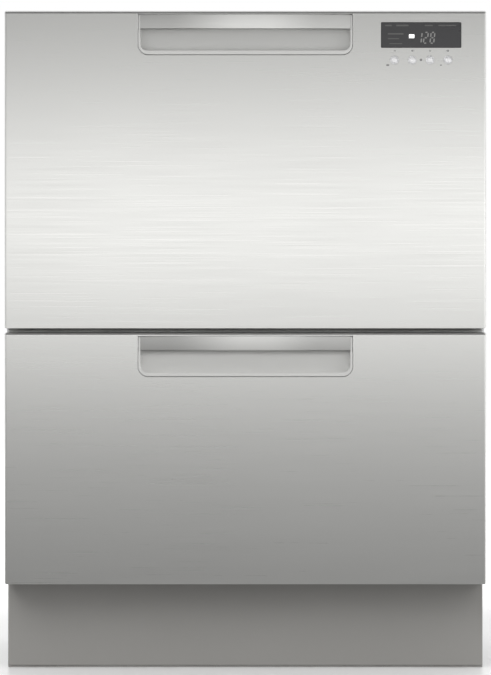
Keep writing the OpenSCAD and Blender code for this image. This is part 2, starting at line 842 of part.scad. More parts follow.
module lid(d) {
  rib = 3;
  nx = 7;
  ny = 6;
  x = tub_x + rim_w;
  y0 = tub_y0 - rim_w;
  y1 = tub_y1 + rim_w;
  inset = tub_corner_r / 2;
  rod_z0 = rim_z[d] - actuator_top - rod_below;
  cell_x = (2 * (x - inset) + rib) / nx;
  cell_y = (y1 - y0 - 2 * inset + rib) / ny;
  color("gainsboro") {
    difference() {
      upright(tub_plan(rim_w), lid_z[d], lid_z[d] + lid_t);
      for (i = [0:nx - 1], j = [0:ny - 1])
        translate([-x + inset + i * cell_x, y0 + inset + j * cell_y, lid_z[d] - through])
          cube([cell_x - rib, cell_y - rib, lid_t - rib + through]);
    }
    both_sides() {
      box([x - eps, tub_y - lug_w / 2, lid_z[d] + lug_drop],
        [rod_x + rod_d / 2 + lug_wall, tub_y + lug_w / 2, lid_z[d] + lid_t]);
      translate([rod_x, tub_y, rod_z0])
        cylinder(r = rod_d / 2, h = lid_z[d] + lug_drop - weld_gap - rod_z0, $fn = 32);
    }
  }
}

module lid_seal(d) {
  color("dimgray") difference() {
    upright(tub_plan(rim_w), seal_z[d], lid_z[d]);
    upright(tub_plan(-tub_wall), seal_z[d] - through, lid_z[d] + through);
  }
}

module upper_lid() { lid(UPPER); }
module lower_lid() { lid(LOWER); }
module upper_lid_seal() { lid_seal(UPPER); }
module lower_lid_seal() { lid_seal(LOWER); }

// Motor housings that pull the lids down by their rods
module lid_actuators() {
  color("dimgray") both_sides() for (z = rim_z)
    difference() {
      union() {
        box([inner_x - actuator_w, tub_y - actuator_l / 2, z - actuator_bottom],
          [inner_x, tub_y + actuator_l / 2, z - actuator_top]);
        translate([inner_x - actuator_w, tub_y + actuator_l / 2 - eps, z - actuator_bottom + motor_rise])
          cube([actuator_w, motor_l, motor_h]);
      }
      translate([rod_x, tub_y, z - actuator_bottom - through])
        cylinder(r = rod_d / 2 + rod_slip, h = actuator_bottom + through, $fn = 32);
    }
}

// ---------- wash system ----------

// Bowl under the tub's floor, with the spindle in its middle and the hose spigot at its side
module wash_pump(d) {
  spigot_z = pump_z[d] + spigot_rise;
  color("darkgray") translate([0, tub_y, 0]) {
    difference() {
      union() {
        translate([0, 0, pump_z[d]]) cylinder(r = sump_r, h = pump_h, $fn = 96);
        translate([0, 0, tub_z0[d] - 3]) cylinder(r = sump_r + pump_flange, h = 3, $fn = 96);
        translate([0, 0, spigot_z]) rotate([0, 90, 0])
          cylinder(r = spigot_r - spigot_wall, h = spigot_x, $fn = 32);
      }
      translate([0, 0, pump_z[d] + pump_base])
        cylinder(r = sump_r - pump_wall, h = pump_h, $fn = 96);
      translate([0, 0, spigot_z]) rotate([0, 90, 0])
        cylinder(r = spigot_r - 2 * spigot_wall, h = spigot_x + through, $fn = 32);
    }
    translate([0, 0, pump_z[d]])
      cylinder(r = spindle_r, h = arm_z[d] + arm_hub_h - arm_cap - slip - pump_z[d], $fn = 64);
  }
}

module pump_rotor(d) {
  vanes = 8;
  hub_r = spindle_r + 10;
  disc_r = sump_r - 28;
  disc_t = 3;
  vane_h = 9;
  z0 = pump_z[d] + pump_base + slip;
  color("steelblue") translate([0, tub_y, 0]) difference() {
    union() {
      translate([0, 0, z0]) cylinder(r = hub_r, h = floor_z[d] + 1 - z0, $fn = 64);
      translate([0, 0, z0 + 4]) cylinder(r = disc_r, h = disc_t, $fn = 64);
      for (i = [0:vanes - 1]) rotate([0, 0, i * 360 / vanes])
        translate([hub_r - 2, -1.5, z0 + 4 + disc_t - eps]) cube([disc_r - hub_r, 3, vane_h]);
    }
    translate([0, 0, z0 - through])
      cylinder(r = spindle_r + spin_clear, h = pump_h + 2 * through, $fn = 64);
  }
}

module filter_plate(d) {
  rings = 3;
  hole_r = 3;
  color("gainsboro") translate([0, tub_y, floor_z[d]]) difference() {
    cylinder(r = filter_d / 2, h = filter_t, $fn = 96);
    translate([0, 0, -through]) cylinder(r = spindle_r + 15, h = filter_t + 2 * through, $fn = 64);
    for (k = [1:rings], i = [0:6 * k + 5])
      rotate([0, 0, i * 60 / (k + 1)]) translate([26 + 17 * k, 0, -through])
        cylinder(r = hole_r, h = filter_t + 2 * through, $fn = 8);
  }
}

// Hub on the spindle with two tapered blades, swept a little, and a row of jets on each
module spray_arm(d) {
  hub_r = 28;
  jets = 6;
  jet_r = 2;
  sweep = 14;
  tip = arm_tip_w / 2;
  blade = concat([[0, -arm_root_w / 2], [arm_r - tip, sweep - tip]],
    arc(arm_r - tip, sweep, tip, -90, 90, 8), [[0, arm_root_w / 2]]);
  color("lightsteelblue") translate([0, tub_y, arm_z[d]]) difference() {
    union() {
      cylinder(r = hub_r, h = arm_hub_h, $fn = 64);
      for (a = [0, 180]) rotate([0, 0, a])
        upright(blade, arm_hub_h - arm_t - 2, arm_hub_h - 2);
    }
    translate([0, 0, -through])
      cylinder(r = spindle_r + spin_clear, h = arm_hub_h - arm_cap + through, $fn = 64);
    for (a = [0, 180], i = [1:jets]) rotate([0, 0, a])
      translate([hub_r + 6 + i * (arm_r - tip - hub_r - 6) / (jets + 0.5), sweep * i / jets,
        arm_hub_h - 5])
        cylinder(r = jet_r, h = 5, $fn = 8);
  }
}

module upper_wash_pump() { wash_pump(UPPER); }
module lower_wash_pump() { wash_pump(LOWER); }
module upper_pump_rotor() { pump_rotor(UPPER); }
module lower_pump_rotor() { pump_rotor(LOWER); }
module upper_filter_plate() { filter_plate(UPPER); }
module lower_filter_plate() { filter_plate(LOWER); }
module upper_spray_arm() { spray_arm(UPPER); }
module lower_spray_arm() { spray_arm(LOWER); }

// ---------- baskets ----------

// Flat lattice in a plane: w by h, with nx by ny openings
module lattice(w, h, nx, ny) {
  cell_x = (w - wire) / nx;
  cell_y = (h - wire) / ny;
  difference() {
    square([w, h]);
    for (i = [0:nx - 1], j = [0:ny - 1])
      translate([wire + i * cell_x, wire + j * cell_y]) square([cell_x - wire, cell_y - wire]);
  }
}

// Flat wall lattice: w by h, with nx openings in each row and a wire whose top is at mid
module wall_lattice(w, h, nx, mid) {
  cell = (w - wire) / nx;
  difference() {
    square([w, h]);
    for (i = [0:nx - 1]) translate([wire + i * cell, 0]) {
      translate([0, wire]) square([cell - wire, mid - 2 * wire]);
      translate([0, mid]) square([cell - wire, h - wire - mid]);
    }
  }
}

// A line of tines on a rail that runs front to back, seen from the side
module tine_line(x, z) {
  across(concat([[tine_y[0] - wire / 2, z], [tine_y[3] + wire / 2, z]],
    [for (i = [3:-1:0]) each tine_outline(tine_y[i], z)]), x - wire / 2, x + wire / 2);
}

function tine_outline(y, z) = [[y + wire / 2, z + wire], [y + wire / 2, z + tine_h],
  [y - wire / 2, z + tine_h], [y - wire / 2, z + wire]];

// Bearing block with its bore along X, standing on z
module x_bearing(x, y, z, bore_z) {
  translate([x, y - block_w / 2, z]) difference() {
    cube([block_t, block_w, bore_z - z + block_w / 2]);
    translate([-through, block_w / 2, bore_z - z]) rotate([0, 90, 0])
      cylinder(r = hinge_r + spin_clear, h = block_t + 2 * through, $fn = 32);
  }
}

fold_y = tub_y + tine_pitch / 8;
tine_y = [for (k = [-2, -1, 1, 2]) fold_y + k * tine_pitch];
weld_z = [for (z = basket_z) z + wire + weld_gap];
fold_z = [for (z = weld_z) z + wire + hinge_r + 1.5];
bearing_x = lines_half_w + slip + block_t / 2;
rack_x = -basket_x + wire + weld_gap + block_w / 2;
rack_z = [for (z = weld_z) z + cup_rack_h - wire / 2];

module basket(d) {
  z0 = basket_z[d];
  z1 = weld_z[d];
  h = basket_heights[d] - wire - weld_gap;
  w = 2 * basket_x;
  l = 2 * basket_half_d;
  nx = 12;
  ny = 9;
  color("lightslategray") {
    translate([-basket_x, tub_y - basket_half_d, z0]) linear_extrude(wire) lattice(w, l, nx, ny);
    for (y = [tub_y - basket_half_d + wire, tub_y + basket_half_d])
      translate([-basket_x, y, z1]) rotate([90, 0, 0]) linear_extrude(wire)
        wall_lattice(w, h, nx, cup_rack_h);
    both_sides()
      translate([basket_x - wire, tub_y - basket_half_d + wire + weld_gap, z1])
        rotate([90, 0, 90]) linear_extrude(wire)
          wall_lattice(l - 2 * (wire + weld_gap), h, ny, cup_rack_h);
    for (x = line_x) tine_line(x, z1);
    both_sides() {
      box([bearing_x - wire / 2, tine_y[0] - wire / 2, z1],
        [bearing_x + wire / 2, tine_y[3] + wire / 2, z1 + wire]);
      x_bearing(bearing_x - block_t / 2, fold_y, z1 + wire + weld_gap, fold_z[d]);
    }
    for (s = [-1, 1])
      translate([rack_x, tub_y + s * (cup_rack_l / 2 + slip + block_t / 2), rack_z[d]])
        rotate([90, 0, 0]) difference() {
          translate([-block_w / 2, -block_w / 2, -block_t / 2]) cube([block_w, block_w, block_t]);
          translate([0, 0, -block_t]) cylinder(r = hinge_r + spin_clear, h = 2 * block_t, $fn = 32);
        }
  }
}

// Rod in the two bearings, with one tine for each line, that folds back
module folding_tines(d) {
  rod_l = 2 * bearing_x + block_t - 1;
  color("lightslategray") {
    translate([-rod_l / 2, fold_y, fold_z[d]]) rotate([0, 90, 0])
      cylinder(r = hinge_r, h = rod_l, $fn = 32);
    for (x = line_x)
      box([x - wire / 2, fold_y - wire / 2, fold_z[d]],
        [x + wire / 2, fold_y + wire / 2, weld_z[d] + tine_h]);
  }
}

// Shelf that swings up against the side of the basket
module cup_rack(d) {
  rod_l = cup_rack_l + 2 * (slip + block_t) - 1;
  color("lightslategray") {
    translate([rack_x, tub_y + rod_l / 2, rack_z[d]]) rotate([90, 0, 0])
      cylinder(r = hinge_r, h = rod_l, $fn = 32);
    translate([rack_x, tub_y - cup_rack_l / 2, rack_z[d] - wire / 2])
      linear_extrude(wire) lattice(cup_rack_w, cup_rack_l, 3, 8);
  }
}

// Floor, slotted sides, ends and a middle wall with a grip above it, welded together
module cutlery_basket() {
  z0 = basket_z[UPPER] + wire;
  z1 = z0 + cutlery_wall + weld_gap;
  z2 = z0 + cutlery_h;
  x0 = cutlery_x0;
  x1 = x0 + cutlery_w;
  y0 = cutlery_y0;
  y1 = y0 + cutlery_l;
  inside = cutlery_wall + weld_gap;
  mid = (y0 + y1) / 2;
  mid_x = (x0 + x1) / 2;
  divider_t = 3;
  grip_h = 32;
  grip_hole = 48;
  slot_end = 12;
  slot_h = 10;
  color("gray") {
    box([x0, y0, z0], [x1, y1, z0 + cutlery_wall]);
    for (y = [y0, y1 - cutlery_wall]) box([x0, y, z1], [x1, y + cutlery_wall, z2]);
    box([x0 + inside, mid - divider_t / 2, z1], [x1 - inside, mid + divider_t / 2, z2]);
    difference() {
      for (x = [x0, x1 - cutlery_wall]) box([x, y0 + inside, z1], [x + cutlery_wall, y1 - inside, z2]);
      for (y = [y0, mid], k = [1:cutlery_rows])
        translate([x0 - through, y + slot_end, z0 + k * cutlery_h / (cutlery_rows + 1) - slot_h / 2])
          cube([cutlery_w + 2 * through, cutlery_l / 2 - 2 * slot_end, slot_h]);
    }
    difference() {
      box([x0 + inside, mid - divider_t / 2, z2 + weld_gap],
        [x1 - inside, mid + divider_t / 2, z2 + grip_h]);
      fore_aft(rounded(mid_x - grip_hole / 2, z2 + 6, mid_x + grip_hole / 2, z2 + grip_h - 8, 8, 8),
        mid - divider_t, mid + divider_t);
    }
  }
}

module upper_basket() { basket(UPPER); }
module lower_basket() { basket(LOWER); }
module upper_folding_tines() { folding_tines(UPPER); }
module lower_folding_tines() { folding_tines(LOWER); }
module upper_cup_rack() { cup_rack(UPPER); }
module lower_cup_rack() { cup_rack(LOWER); }

// ---------- detergent dispenser ----------

door_z0 = [for (z = rim_z) z - dispenser_drop - door_h / 2];

module dispenser(d) {
  z = rim_z[d] - dispenser_drop;
  x0 = dispenser_x - dispenser_w / 2;
  x1 = dispenser_x + dispenser_w / 2;
  color("whitesmoke") {
    difference() {
      union() {
        box([x0, face_y, z - dispenser_h / 2], [x1, face_y + face_t, z + dispenser_h / 2]);
        box([x0 + 6, tub_y0 - dispenser_depth, z - dispenser_h / 2 + 5],
          [x1 - 6, face_y + eps, z + dispenser_h / 2 - 5]);
        for (s = [-1, 1])
          dispenser_lug(door_x + s * (door_w / 2 + slip + lug_t / 2), door_z0[d]);
        translate([x1 - cap_r - 12, face_y + face_t + cap_t, z]) rotate([90, 0, 0])
          cylinder(r = cap_r, h = cap_t + eps, $fn = 48);
      }
      box([door_x - cup_w / 2, tub_y0 - dispenser_depth + 3, z - cup_h / 2],
        [door_x + cup_w / 2, face_y + face_t + through, z + cup_h / 2]);
      for (s = [-1, 1])
        translate([door_x + s * (door_w / 2 + slip + lug_t / 2), pin_y, door_z0[d]])
          rotate([0, 90, 0]) cylinder(r = pin_r + spin_clear, h = lug_t + 2, center = true, $fn = 32);
    }
  }
}

module dispenser_lug(x, z) {
  box([x - lug_t / 2, face_y + face_t - eps, z - 4], [x + lug_t / 2, pin_y + 3.5, z + 4]);
}

// Flap over the detergent cup, with its hinge pin along its lower edge
module dispenser_door(d) {
  pin_l = door_w + 2 * (slip + lug_t) - 1;
  color("gainsboro") {
    box([door_x - door_w / 2, face_y + face_t + 0.4, door_z0[d]],
      [door_x + door_w / 2, face_y + face_t + 0.4 + door_t, door_z0[d] + door_h]);
    translate([door_x - pin_l / 2, pin_y, door_z0[d]]) rotate([0, 90, 0])
      cylinder(r = pin_r, h = pin_l, $fn = 32);
  }
}

module upper_dispenser() { dispenser(UPPER); }
module lower_dispenser() { dispenser(LOWER); }
module upper_dispenser_door() { dispenser_door(UPPER); }
module lower_dispenser_door() { dispenser_door(LOWER); }

// ---------- services ----------

module service_fittings() {
  valve_top = service_z + valve_above;
  elbow_y1 = block_y0 + elbow_t;
  color("dimgray") {
    // Inlet valve with its thread, and the manifold that feeds both hose links
    difference() {
      union() {
        box([valve_x - valve_w / 2, block_y0, pan_floor], [valve_x + valve_w / 2, block_y1, valve_top]);
        translate([valve_x, block_y1 - eps, service_z]) rotate([-90, 0, 0])
          cylinder(r = inlet_r, h = inlet_l + eps, $fn = 64);
      }
      translate([valve_x, block_y1 + inlet_l + through, service_z]) rotate([90, 0, 0])
        cylinder(r = inlet_r - thread_wall, h = inlet_l + bore_past, $fn = 48);
    }
    // Drain elbow with its spigot
    difference() {
      union() {
        box([drain_x - elbow_w / 2, block_y0, pan_floor],
          [drain_x + elbow_w / 2, elbow_y1, service_z + elbow_w / 2]);
        translate([drain_x, elbow_y1 - eps, service_z]) rotate([-90, 0, 0])
          cylinder(r = drain_r, h = drain_l + eps, $fn = 64);
      }
      translate([drain_x, elbow_y1 + drain_l + through, service_z]) rotate([90, 0, 0])
        cylinder(r = drain_r - spigot_wall, h = drain_l + bore_past, $fn = 48);
    }
    // Bush for the mains lead in its bracket
    difference() {
      box([bush_x - bush_w / 2, bush_y1 - bush_t, pan_floor],
        [bush_x + bush_w / 2, bush_y1, service_z + bush_w / 2]);
      translate([bush_x, bush_y1 + through, service_z]) rotate([90, 0, 0])
        cylinder(r = bush_bore_r, h = bush_t + 2 * through, $fn = 48);
    }
  }
}

function unit(v) = v / norm(v);

function heading(path, i) = unit(path[min(i + 1, len(path) - 1)] - path[max(i - 1, 0)]);

// Side vector at each point, carried along the path without twisting
function carried(path, i, side) = i == len(path) ? [] :
  let (t = heading(path, i), s = unit(side - t * (side * t)))
  concat([s], carried(path, i + 1, s));

// Catmull-Rom curve through the points
function curve(p, steps) = concat([for (i = [0:len(p) - 2], k = [0:steps - 1])
  let (t = k / steps, a = p[max(i - 1, 0)], b = p[i], c = p[i + 1], e = p[min(i + 2, len(p) - 1)])
  0.5 * (2 * b + (c - a) * t + (2 * a - 5 * b + 4 * c - e) * t * t
    + (3 * b - a - 3 * c + e) * t * t * t)], [p[len(p) - 1]]);

module hose(points, r) {
  path = curve(points, hose_steps);
  n = hose_sides;
  m = len(path);
  side = carried(path, 0, [0, 0.3, 1]);
  rings = [for (i = [0:m - 1], k = [0:n - 1])
    path[i] + r * (cos(360 * k / n) * side[i] + sin(360 * k / n) * cross(heading(path, i), side[i]))];
  polyhedron(rings, concat([[for (k = [n - 1:-1:0]) k]],
    [for (i = [0:m - 2], k = [0:n - 1]) [i * n + k, i * n + (k + 1) % n, (i + 1) * n + (k + 1) % n]],
    [for (i = [0:m - 2], k = [0:n - 1]) [i * n + k, (i + 1) * n + (k + 1) % n, (i + 1) * n + k]],
    [[for (k = [0:n - 1]) (m - 1) * n + k]]));
}

// The stretch that leads forward and hooks round under the tub to the pump's spigot
function to_pump(d) = let (z = pump_z[d] + spigot_rise, r = hose_bend) concat(
  [for (p = forward_route) [p[0], hose_y + p[1] * (tub_y + r - hose_y), pump_z[d] + p[2]]],
  [[spigot_x + 2 * r, tub_y + r, z], [spigot_x + r * (1 + sin(45)), tub_y + r * (1 - cos(45)), z],
   [spigot_x + r, tub_y, z], [spigot_x + r / 2, tub_y, z], [spigot_x, tub_y, z]]);

// Points of a route, moved to the space behind the tubs at height z
function behind(route, z) = [for (p = route) [p[0], hose_y + p[1], z + p[2]]];

module upper_hose_link() {
  start = [valve_x - valve_w / 2, hose_y, pan_floor + hose_start_rise];
  color("dimgray") hose(concat([for (k = [0:2]) start - [12 * k, 0, 0]],
    behind(foot_of_riser, pan_floor), behind(riser_route, pump_z[UPPER]), to_pump(UPPER)), hose_d / 2);
}

module lower_hose_link() {
  start = [valve_x, hose_y, service_z + valve_above];
  color("dimgray") hose(concat([for (k = [0:2]) start + [0, 0, 12 * k]],
    behind(floor_route, pump_z[LOWER]), to_pump(LOWER)), hose_d / 2);
}

left_side_panel();
right_side_panel();
top_panel();
back_panel();
base_pan();
cross_rail();
toe_plate();
fixed_runners();
lid_actuators();
service_fittings();
cabinet_screws();
upper_hose_link();
lower_hose_link();
foot_front_left();
foot_front_right();
foot_rear_left();
foot_rear_right();
display_window();
control_module();
power_button();
program_button();
option_button();
start_button();
upper_tub();
upper_front_skin();
upper_front_liner();
upper_handle_recess();
upper_grip_bar();
upper_inner_runners();
upper_middle_runners();
upper_lid();
upper_lid_seal();
upper_wash_pump();
upper_pump_rotor();
upper_filter_plate();
upper_spray_arm();
upper_basket();
upper_cup_rack();
upper_folding_tines();
upper_dispenser();
upper_dispenser_door();
cutlery_basket();
lower_tub();
lower_front_skin();
lower_front_liner();
lower_handle_recess();
lower_grip_bar();
lower_inner_runners();
lower_middle_runners();
lower_lid();
lower_lid_seal();
lower_wash_pump();
lower_pump_rotor();
lower_filter_plate();
lower_spray_arm();
lower_basket();
lower_cup_rack();
lower_folding_tines();
lower_dispenser();
lower_dispenser_door();
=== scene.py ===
"""Looks of a double dishwasher drawer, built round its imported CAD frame.

Shapes are worked out in millimetres, in the frame of the CAD part, and turned into
metres when a piece is finished. A tool that cuts runs a few millimetres past its target.
"""
import json
import math

import bmesh
import bpy
from bpy.props import FloatProperty, FloatVectorProperty, PointerProperty
from mathutils import Matrix, Vector


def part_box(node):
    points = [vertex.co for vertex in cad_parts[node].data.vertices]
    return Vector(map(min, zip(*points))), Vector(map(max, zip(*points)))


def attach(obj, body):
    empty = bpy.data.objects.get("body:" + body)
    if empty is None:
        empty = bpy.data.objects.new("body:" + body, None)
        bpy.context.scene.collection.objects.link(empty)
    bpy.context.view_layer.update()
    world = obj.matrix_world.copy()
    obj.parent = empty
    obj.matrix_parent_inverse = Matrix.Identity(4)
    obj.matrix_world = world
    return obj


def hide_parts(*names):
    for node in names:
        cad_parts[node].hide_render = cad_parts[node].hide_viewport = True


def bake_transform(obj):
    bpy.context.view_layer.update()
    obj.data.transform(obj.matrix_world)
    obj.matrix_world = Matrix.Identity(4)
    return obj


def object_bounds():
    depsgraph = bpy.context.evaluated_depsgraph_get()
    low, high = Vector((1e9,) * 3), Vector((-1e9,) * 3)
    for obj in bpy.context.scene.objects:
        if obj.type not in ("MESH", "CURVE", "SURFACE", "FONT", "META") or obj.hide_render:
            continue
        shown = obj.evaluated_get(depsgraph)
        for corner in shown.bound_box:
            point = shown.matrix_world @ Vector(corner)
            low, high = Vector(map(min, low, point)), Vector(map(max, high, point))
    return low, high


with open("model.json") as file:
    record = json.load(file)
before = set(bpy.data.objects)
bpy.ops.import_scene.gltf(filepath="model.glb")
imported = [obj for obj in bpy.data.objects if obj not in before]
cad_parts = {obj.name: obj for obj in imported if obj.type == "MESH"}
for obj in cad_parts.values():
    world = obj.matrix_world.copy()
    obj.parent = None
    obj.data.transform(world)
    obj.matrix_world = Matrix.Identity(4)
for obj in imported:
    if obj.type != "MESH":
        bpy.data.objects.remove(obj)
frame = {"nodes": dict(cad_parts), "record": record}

bl_info = {
    "name": "Double dishwasher drawer",
    "version": (1, 0, 0),
    "blender": (4, 5, 0),
    "location": "3D View > Sidebar > Washer",
    "description": "Builds the steel fronts, tubs, racks and cabinet of a dishwasher drawer",
    "category": "Object",
}

MM = 0.001
X, Y, Z = Vector((1, 0, 0)), Vector((0, 1, 0)), Vector((0, 0, 1))
DRAWERS = ("upper", "lower")
KEYS = ("power", "program", "option", "start")
CAD_BOX = [list(corner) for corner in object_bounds()]
RECORD_COLOURS = {m["slot"]: tuple(m["base_color"]) for m in frame["record"]["materials"]}
# Edges that turn by more than this are sharp
SHARP = math.radians(32)
# Distance at which points are merged
MERGE = 1e-4

# ---------- shapes in millimetres ----------


def cad(node):
    """Lowest and highest corner of a CAD node, in millimetres."""
    low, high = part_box(node)
    return low / MM, high / MM


def centre(node):
    """Middle of a CAD node's box, in millimetres."""
    return sum(cad(node), Vector()) / 2


def place(bm, matrix):
    """The shape, moved by a matrix."""
    bmesh.ops.transform(bm, matrix=matrix, verts=bm.verts)
    return bm


def stood(bm, at, axis):
    """The shape, drawn along Z, stood at a place along another axis."""
    turn = Z.rotation_difference(Vector(axis)).to_matrix().to_4x4()
    return place(bm, Matrix.Translation(Vector(at)) @ turn)


def mirrored(bm):
    """The shape's mirror image across the middle."""
    bmesh.ops.scale(bm, vec=(-1, 1, 1), verts=bm.verts)
    bmesh.ops.reverse_faces(bm, faces=bm.faces)
    return bm


def block(low, high):
    """Box between two corners."""
    low, high = Vector(low), Vector(high)
    bm = bmesh.new()
    bmesh.ops.create_cube(bm, size=1)
    bmesh.ops.scale(bm, vec=high - low, verts=bm.verts)
    bmesh.ops.translate(bm, vec=(low + high) / 2, verts=bm.verts)
    return bm


def soften(bm, width, segments=3, where=None):
    """Rounds the edges that the test picks, or all that turn by over 30 degrees."""
    def sharp(edge):
        return edge.calc_face_angle(0) > math.radians(30)

    edges = [e for e in bm.edges if (where(e) if where else sharp(e))]
    bmesh.ops.bevel(bm, geom=edges, offset=width, offset_type="OFFSET", affect="EDGES",
                    segments=segments, profile=0.5, material=-1, clamp_overlap=True)
    return bm


def along(axis):
    """Test for edges that run along an axis."""
    def test(edge):
        way = (edge.verts[0].co - edge.verts[1].co).normalized()
        return abs(way.dot(axis)) > 0.999
    return test


def rounded_block(low, high, radius, axis=Z, segments=8):
    """Box whose edges along one axis are round."""
    return soften(block(low, high), radius, segments, along(axis))


def folded_block(low, high, radius, share):
    """Box whose edges get the share of the radius that the test gives them."""
    bm = block(low, high)
    weight = bm.edges.layers.float.new("bevel_weight_edge")
    for edge in bm.edges:
        edge[weight] = share(edge)
    thing = scratch(bm)
    fold = thing.modifiers.new("fold", "BEVEL")
    fold.limit_method, fold.width, fold.segments = "WEIGHT", radius, 6
    return settled(thing)


def turned(profile, at, axis=Z, steps=32):
    """Profile of [radius, height] points turned about an axis through a place."""
    bm = bmesh.new()
    verts = [bm.verts.new((r, 0, h)) for r, h in profile]
    edges = [bm.edges.new(pair) for pair in zip(verts, verts[1:])]
    bmesh.ops.spin(bm, geom=verts + edges, cent=(0, 0, 0), axis=(0, 0, 1), dvec=(0, 0, 0),
                   angle=math.tau, steps=steps, use_merge=True, use_duplicate=False)
    bmesh.ops.remove_doubles(bm, verts=bm.verts, dist=MERGE)
    bmesh.ops.recalc_face_normals(bm, faces=bm.faces)
    return stood(bm, at, axis)


def rod(start, end, radius, steps=24, dome=0.0):
    """Round bar from start to end, with its end edges rounded by dome."""
    start, end = Vector(start), Vector(end)
    length = (end - start).length
    rim = [(radius - dome * (1 - math.sin(a)), dome * (1 - math.cos(a)))
           for a in (0, math.pi / 4, math.pi / 2)] if dome else [(radius, 0)]
    profile = [(0, 0)] + rim + [(r, length - h) for r, h in reversed(rim)] + [(0, length)]
    return turned(profile, start, end - start, steps)


def mesh_of(name, bm):
    """The shape as a mesh; the bmesh goes."""
    mesh = bpy.data.meshes.new(name)
    bm.to_mesh(mesh)
    bm.free()
    return mesh


def linked(name, data):
    """New object in the scene that holds the data."""
    thing = bpy.data.objects.new(name, data)
    bpy.context.scene.collection.objects.link(thing)
    return thing


def joined(*parts):
    """One mesh that holds them all."""
    whole = bmesh.new()
    for bm in parts:
        mesh = mesh_of("part", bm)
        whole.from_mesh(mesh)
        bpy.data.meshes.remove(mesh)
    return whole


def both_sides(build):
    """The shape and its mirror image across the middle."""
    return joined(build(), mirrored(build()))


def scratch(bm):
    """Passing object with the shape, for modifiers."""
    return linked("scratch", mesh_of("scratch", bm))


def settled(thing):
    """Mesh of an object with its modifiers applied, as a bmesh; the object goes."""
    mesh = bpy.data.meshes.new_from_object(thing.evaluated_get(bpy.context.evaluated_depsgraph_get()))
    bm = bmesh.new()
    bm.from_mesh(mesh)
    bpy.data.meshes.remove(mesh)
    bpy.data.objects.remove(thing)
    return bm


def carved(bm, *tools, operation="DIFFERENCE"):
    """Cuts the tools out of the shape, or welds them on with UNION."""
    body, tool = scratch(bm), scratch(joined(*tools))
    cut = body.modifiers.new("cut", "BOOLEAN")
    cut.operation, cut.solver, cut.object = operation, "EXACT", tool
    result = settled(body)
    bpy.data.objects.remove(tool)
    bmesh.ops.dissolve_degenerate(result, dist=MERGE, edges=result.edges)
    return result


def wires(paths, radius, sides=8):
    """Round wires through lists of points; a fourth number is the share of the radius there."""
    curve = bpy.data.curves.new("wires", "CURVE")
    curve.dimensions, curve.fill_mode = "3D", "FULL"
    curve.bevel_depth, curve.bevel_resolution, curve.use_fill_caps = radius, sides // 2 - 2, True
    for path in paths:
        loop = (Vector(path[0][:3]) - Vector(path[-1][:3])).length < 1e-6
        points = path[:-1] if loop else path
        spline = curve.splines.new("POLY")
        spline.points.add(len(points) - 1)
        spline.use_cyclic_u = loop
        for point, at in zip(spline.points, points):
            point.co = (*at[:3], 1)
            point.radius = at[3] if len(at) > 3 else 1
    bm = settled(linked("wires", curve))
    bmesh.ops.remove_doubles(bm, verts=bm.verts, dist=MERGE)
    bmesh.ops.recalc_face_normals(bm, faces=bm.faces)
    return bm


def bent(points, radius, steps=4):
    """Path whose corners are bent round."""
    points = [Vector(p) for p in points]
    loop = (points[0] - points[-1]).length < 1e-6
    ring = points[:-1] if loop else points
    count, out = len(ring), []
    for i, corner in enumerate(ring):
        if not loop and i in (0, count - 1):
            out.append(corner)
            continue
        before, after = ring[i - 1], ring[(i + 1) % count]
        a = corner + (before - corner).normalized() * radius
        b = corner + (after - corner).normalized() * radius
        for k in range(steps + 1):
            t = k / steps
            out.append((1 - t) ** 2 * a + 2 * t * (1 - t) * corner + t * t * b)
    return out + [out[0]] if loop else out


def tipped(points, radius):
    """Path with a domed tip at its last point."""
    points = [Vector(p) for p in points]
    tip = points[-1]
    way = (tip - points[-2]).normalized()
    dome = ((1, 1), (0.5, 0.87), (0.15, 0.5), (0, 0.12))
    return [(*p, 1) for p in points[:-1]] + [(*(tip - way * radius * back), share) for back, share in dome]


def sliced(bm, axis, low, high, count):
    """Cuts the shape across at even places, so that it can bend."""
    for i in range(1, count):
        at = axis * (low + (high - low) * i / count)
        bmesh.ops.bisect_plane(bm, geom=list(bm.verts) + list(bm.edges) + list(bm.faces),
                               plane_co=at, plane_no=axis, dist=1e-5)
    return bm


def piece(name, bm, body, slot, *replaced, edge=0.0, material=None):
    """Finishes a shape: metres, smooth shading, soft edges, the material of its slot, and the body it rides
    on, if any.
    """
    bmesh.ops.scale(bm, vec=(MM, MM, MM), verts=bm.verts)
    for face in bm.faces:
        face.smooth = True
    mesh = mesh_of(name, bm)
    thing = linked(name, mesh)
    mesh.materials.append(material or finish(slot))
    if edge:
        soft = thing.modifiers.new("Soft edges", "BEVEL")
        soft.width, soft.segments = edge * MM, 2
        soft.limit_method, soft.angle_limit = "ANGLE", SHARP
        even = thing.modifiers.new("Even shading", "WEIGHTED_NORMAL")
        even.weight = 60
    else:
        mesh.set_sharp_from_angle(angle=SHARP)
    if body:
        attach(thing, body)
    if replaced:
        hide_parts(*replaced)
    return thing


def drawer_piece(drawer, name, bm, body, slot, *replaced, **options):
    """Piece of one of the two drawers; the names come without the drawer's own."""
    nodes = [f"{drawer}_{node}" for node in replaced]
    return piece(f"{drawer}_{name}", bm, f"{drawer}_{body}", slot, *nodes, **options)


# ---------- finishes ----------


def feed(tree, socket, value):
    """Links a socket to another one, or sets it to a value."""
    if isinstance(value, bpy.types.NodeSocket):
        tree.links.new(value, socket)
    else:
        socket.default_value = value


def add(tree, kind, **settings):
    """Adds a shader node; capitalised settings are its sockets, the others its options."""
    node = tree.nodes.new("ShaderNode" + kind)
    for key, value in settings.items():
        if key[0].islower():
            setattr(node, key, value)
        else:
            feed(tree, node.inputs[key.replace("_", " ")], value)
    return node


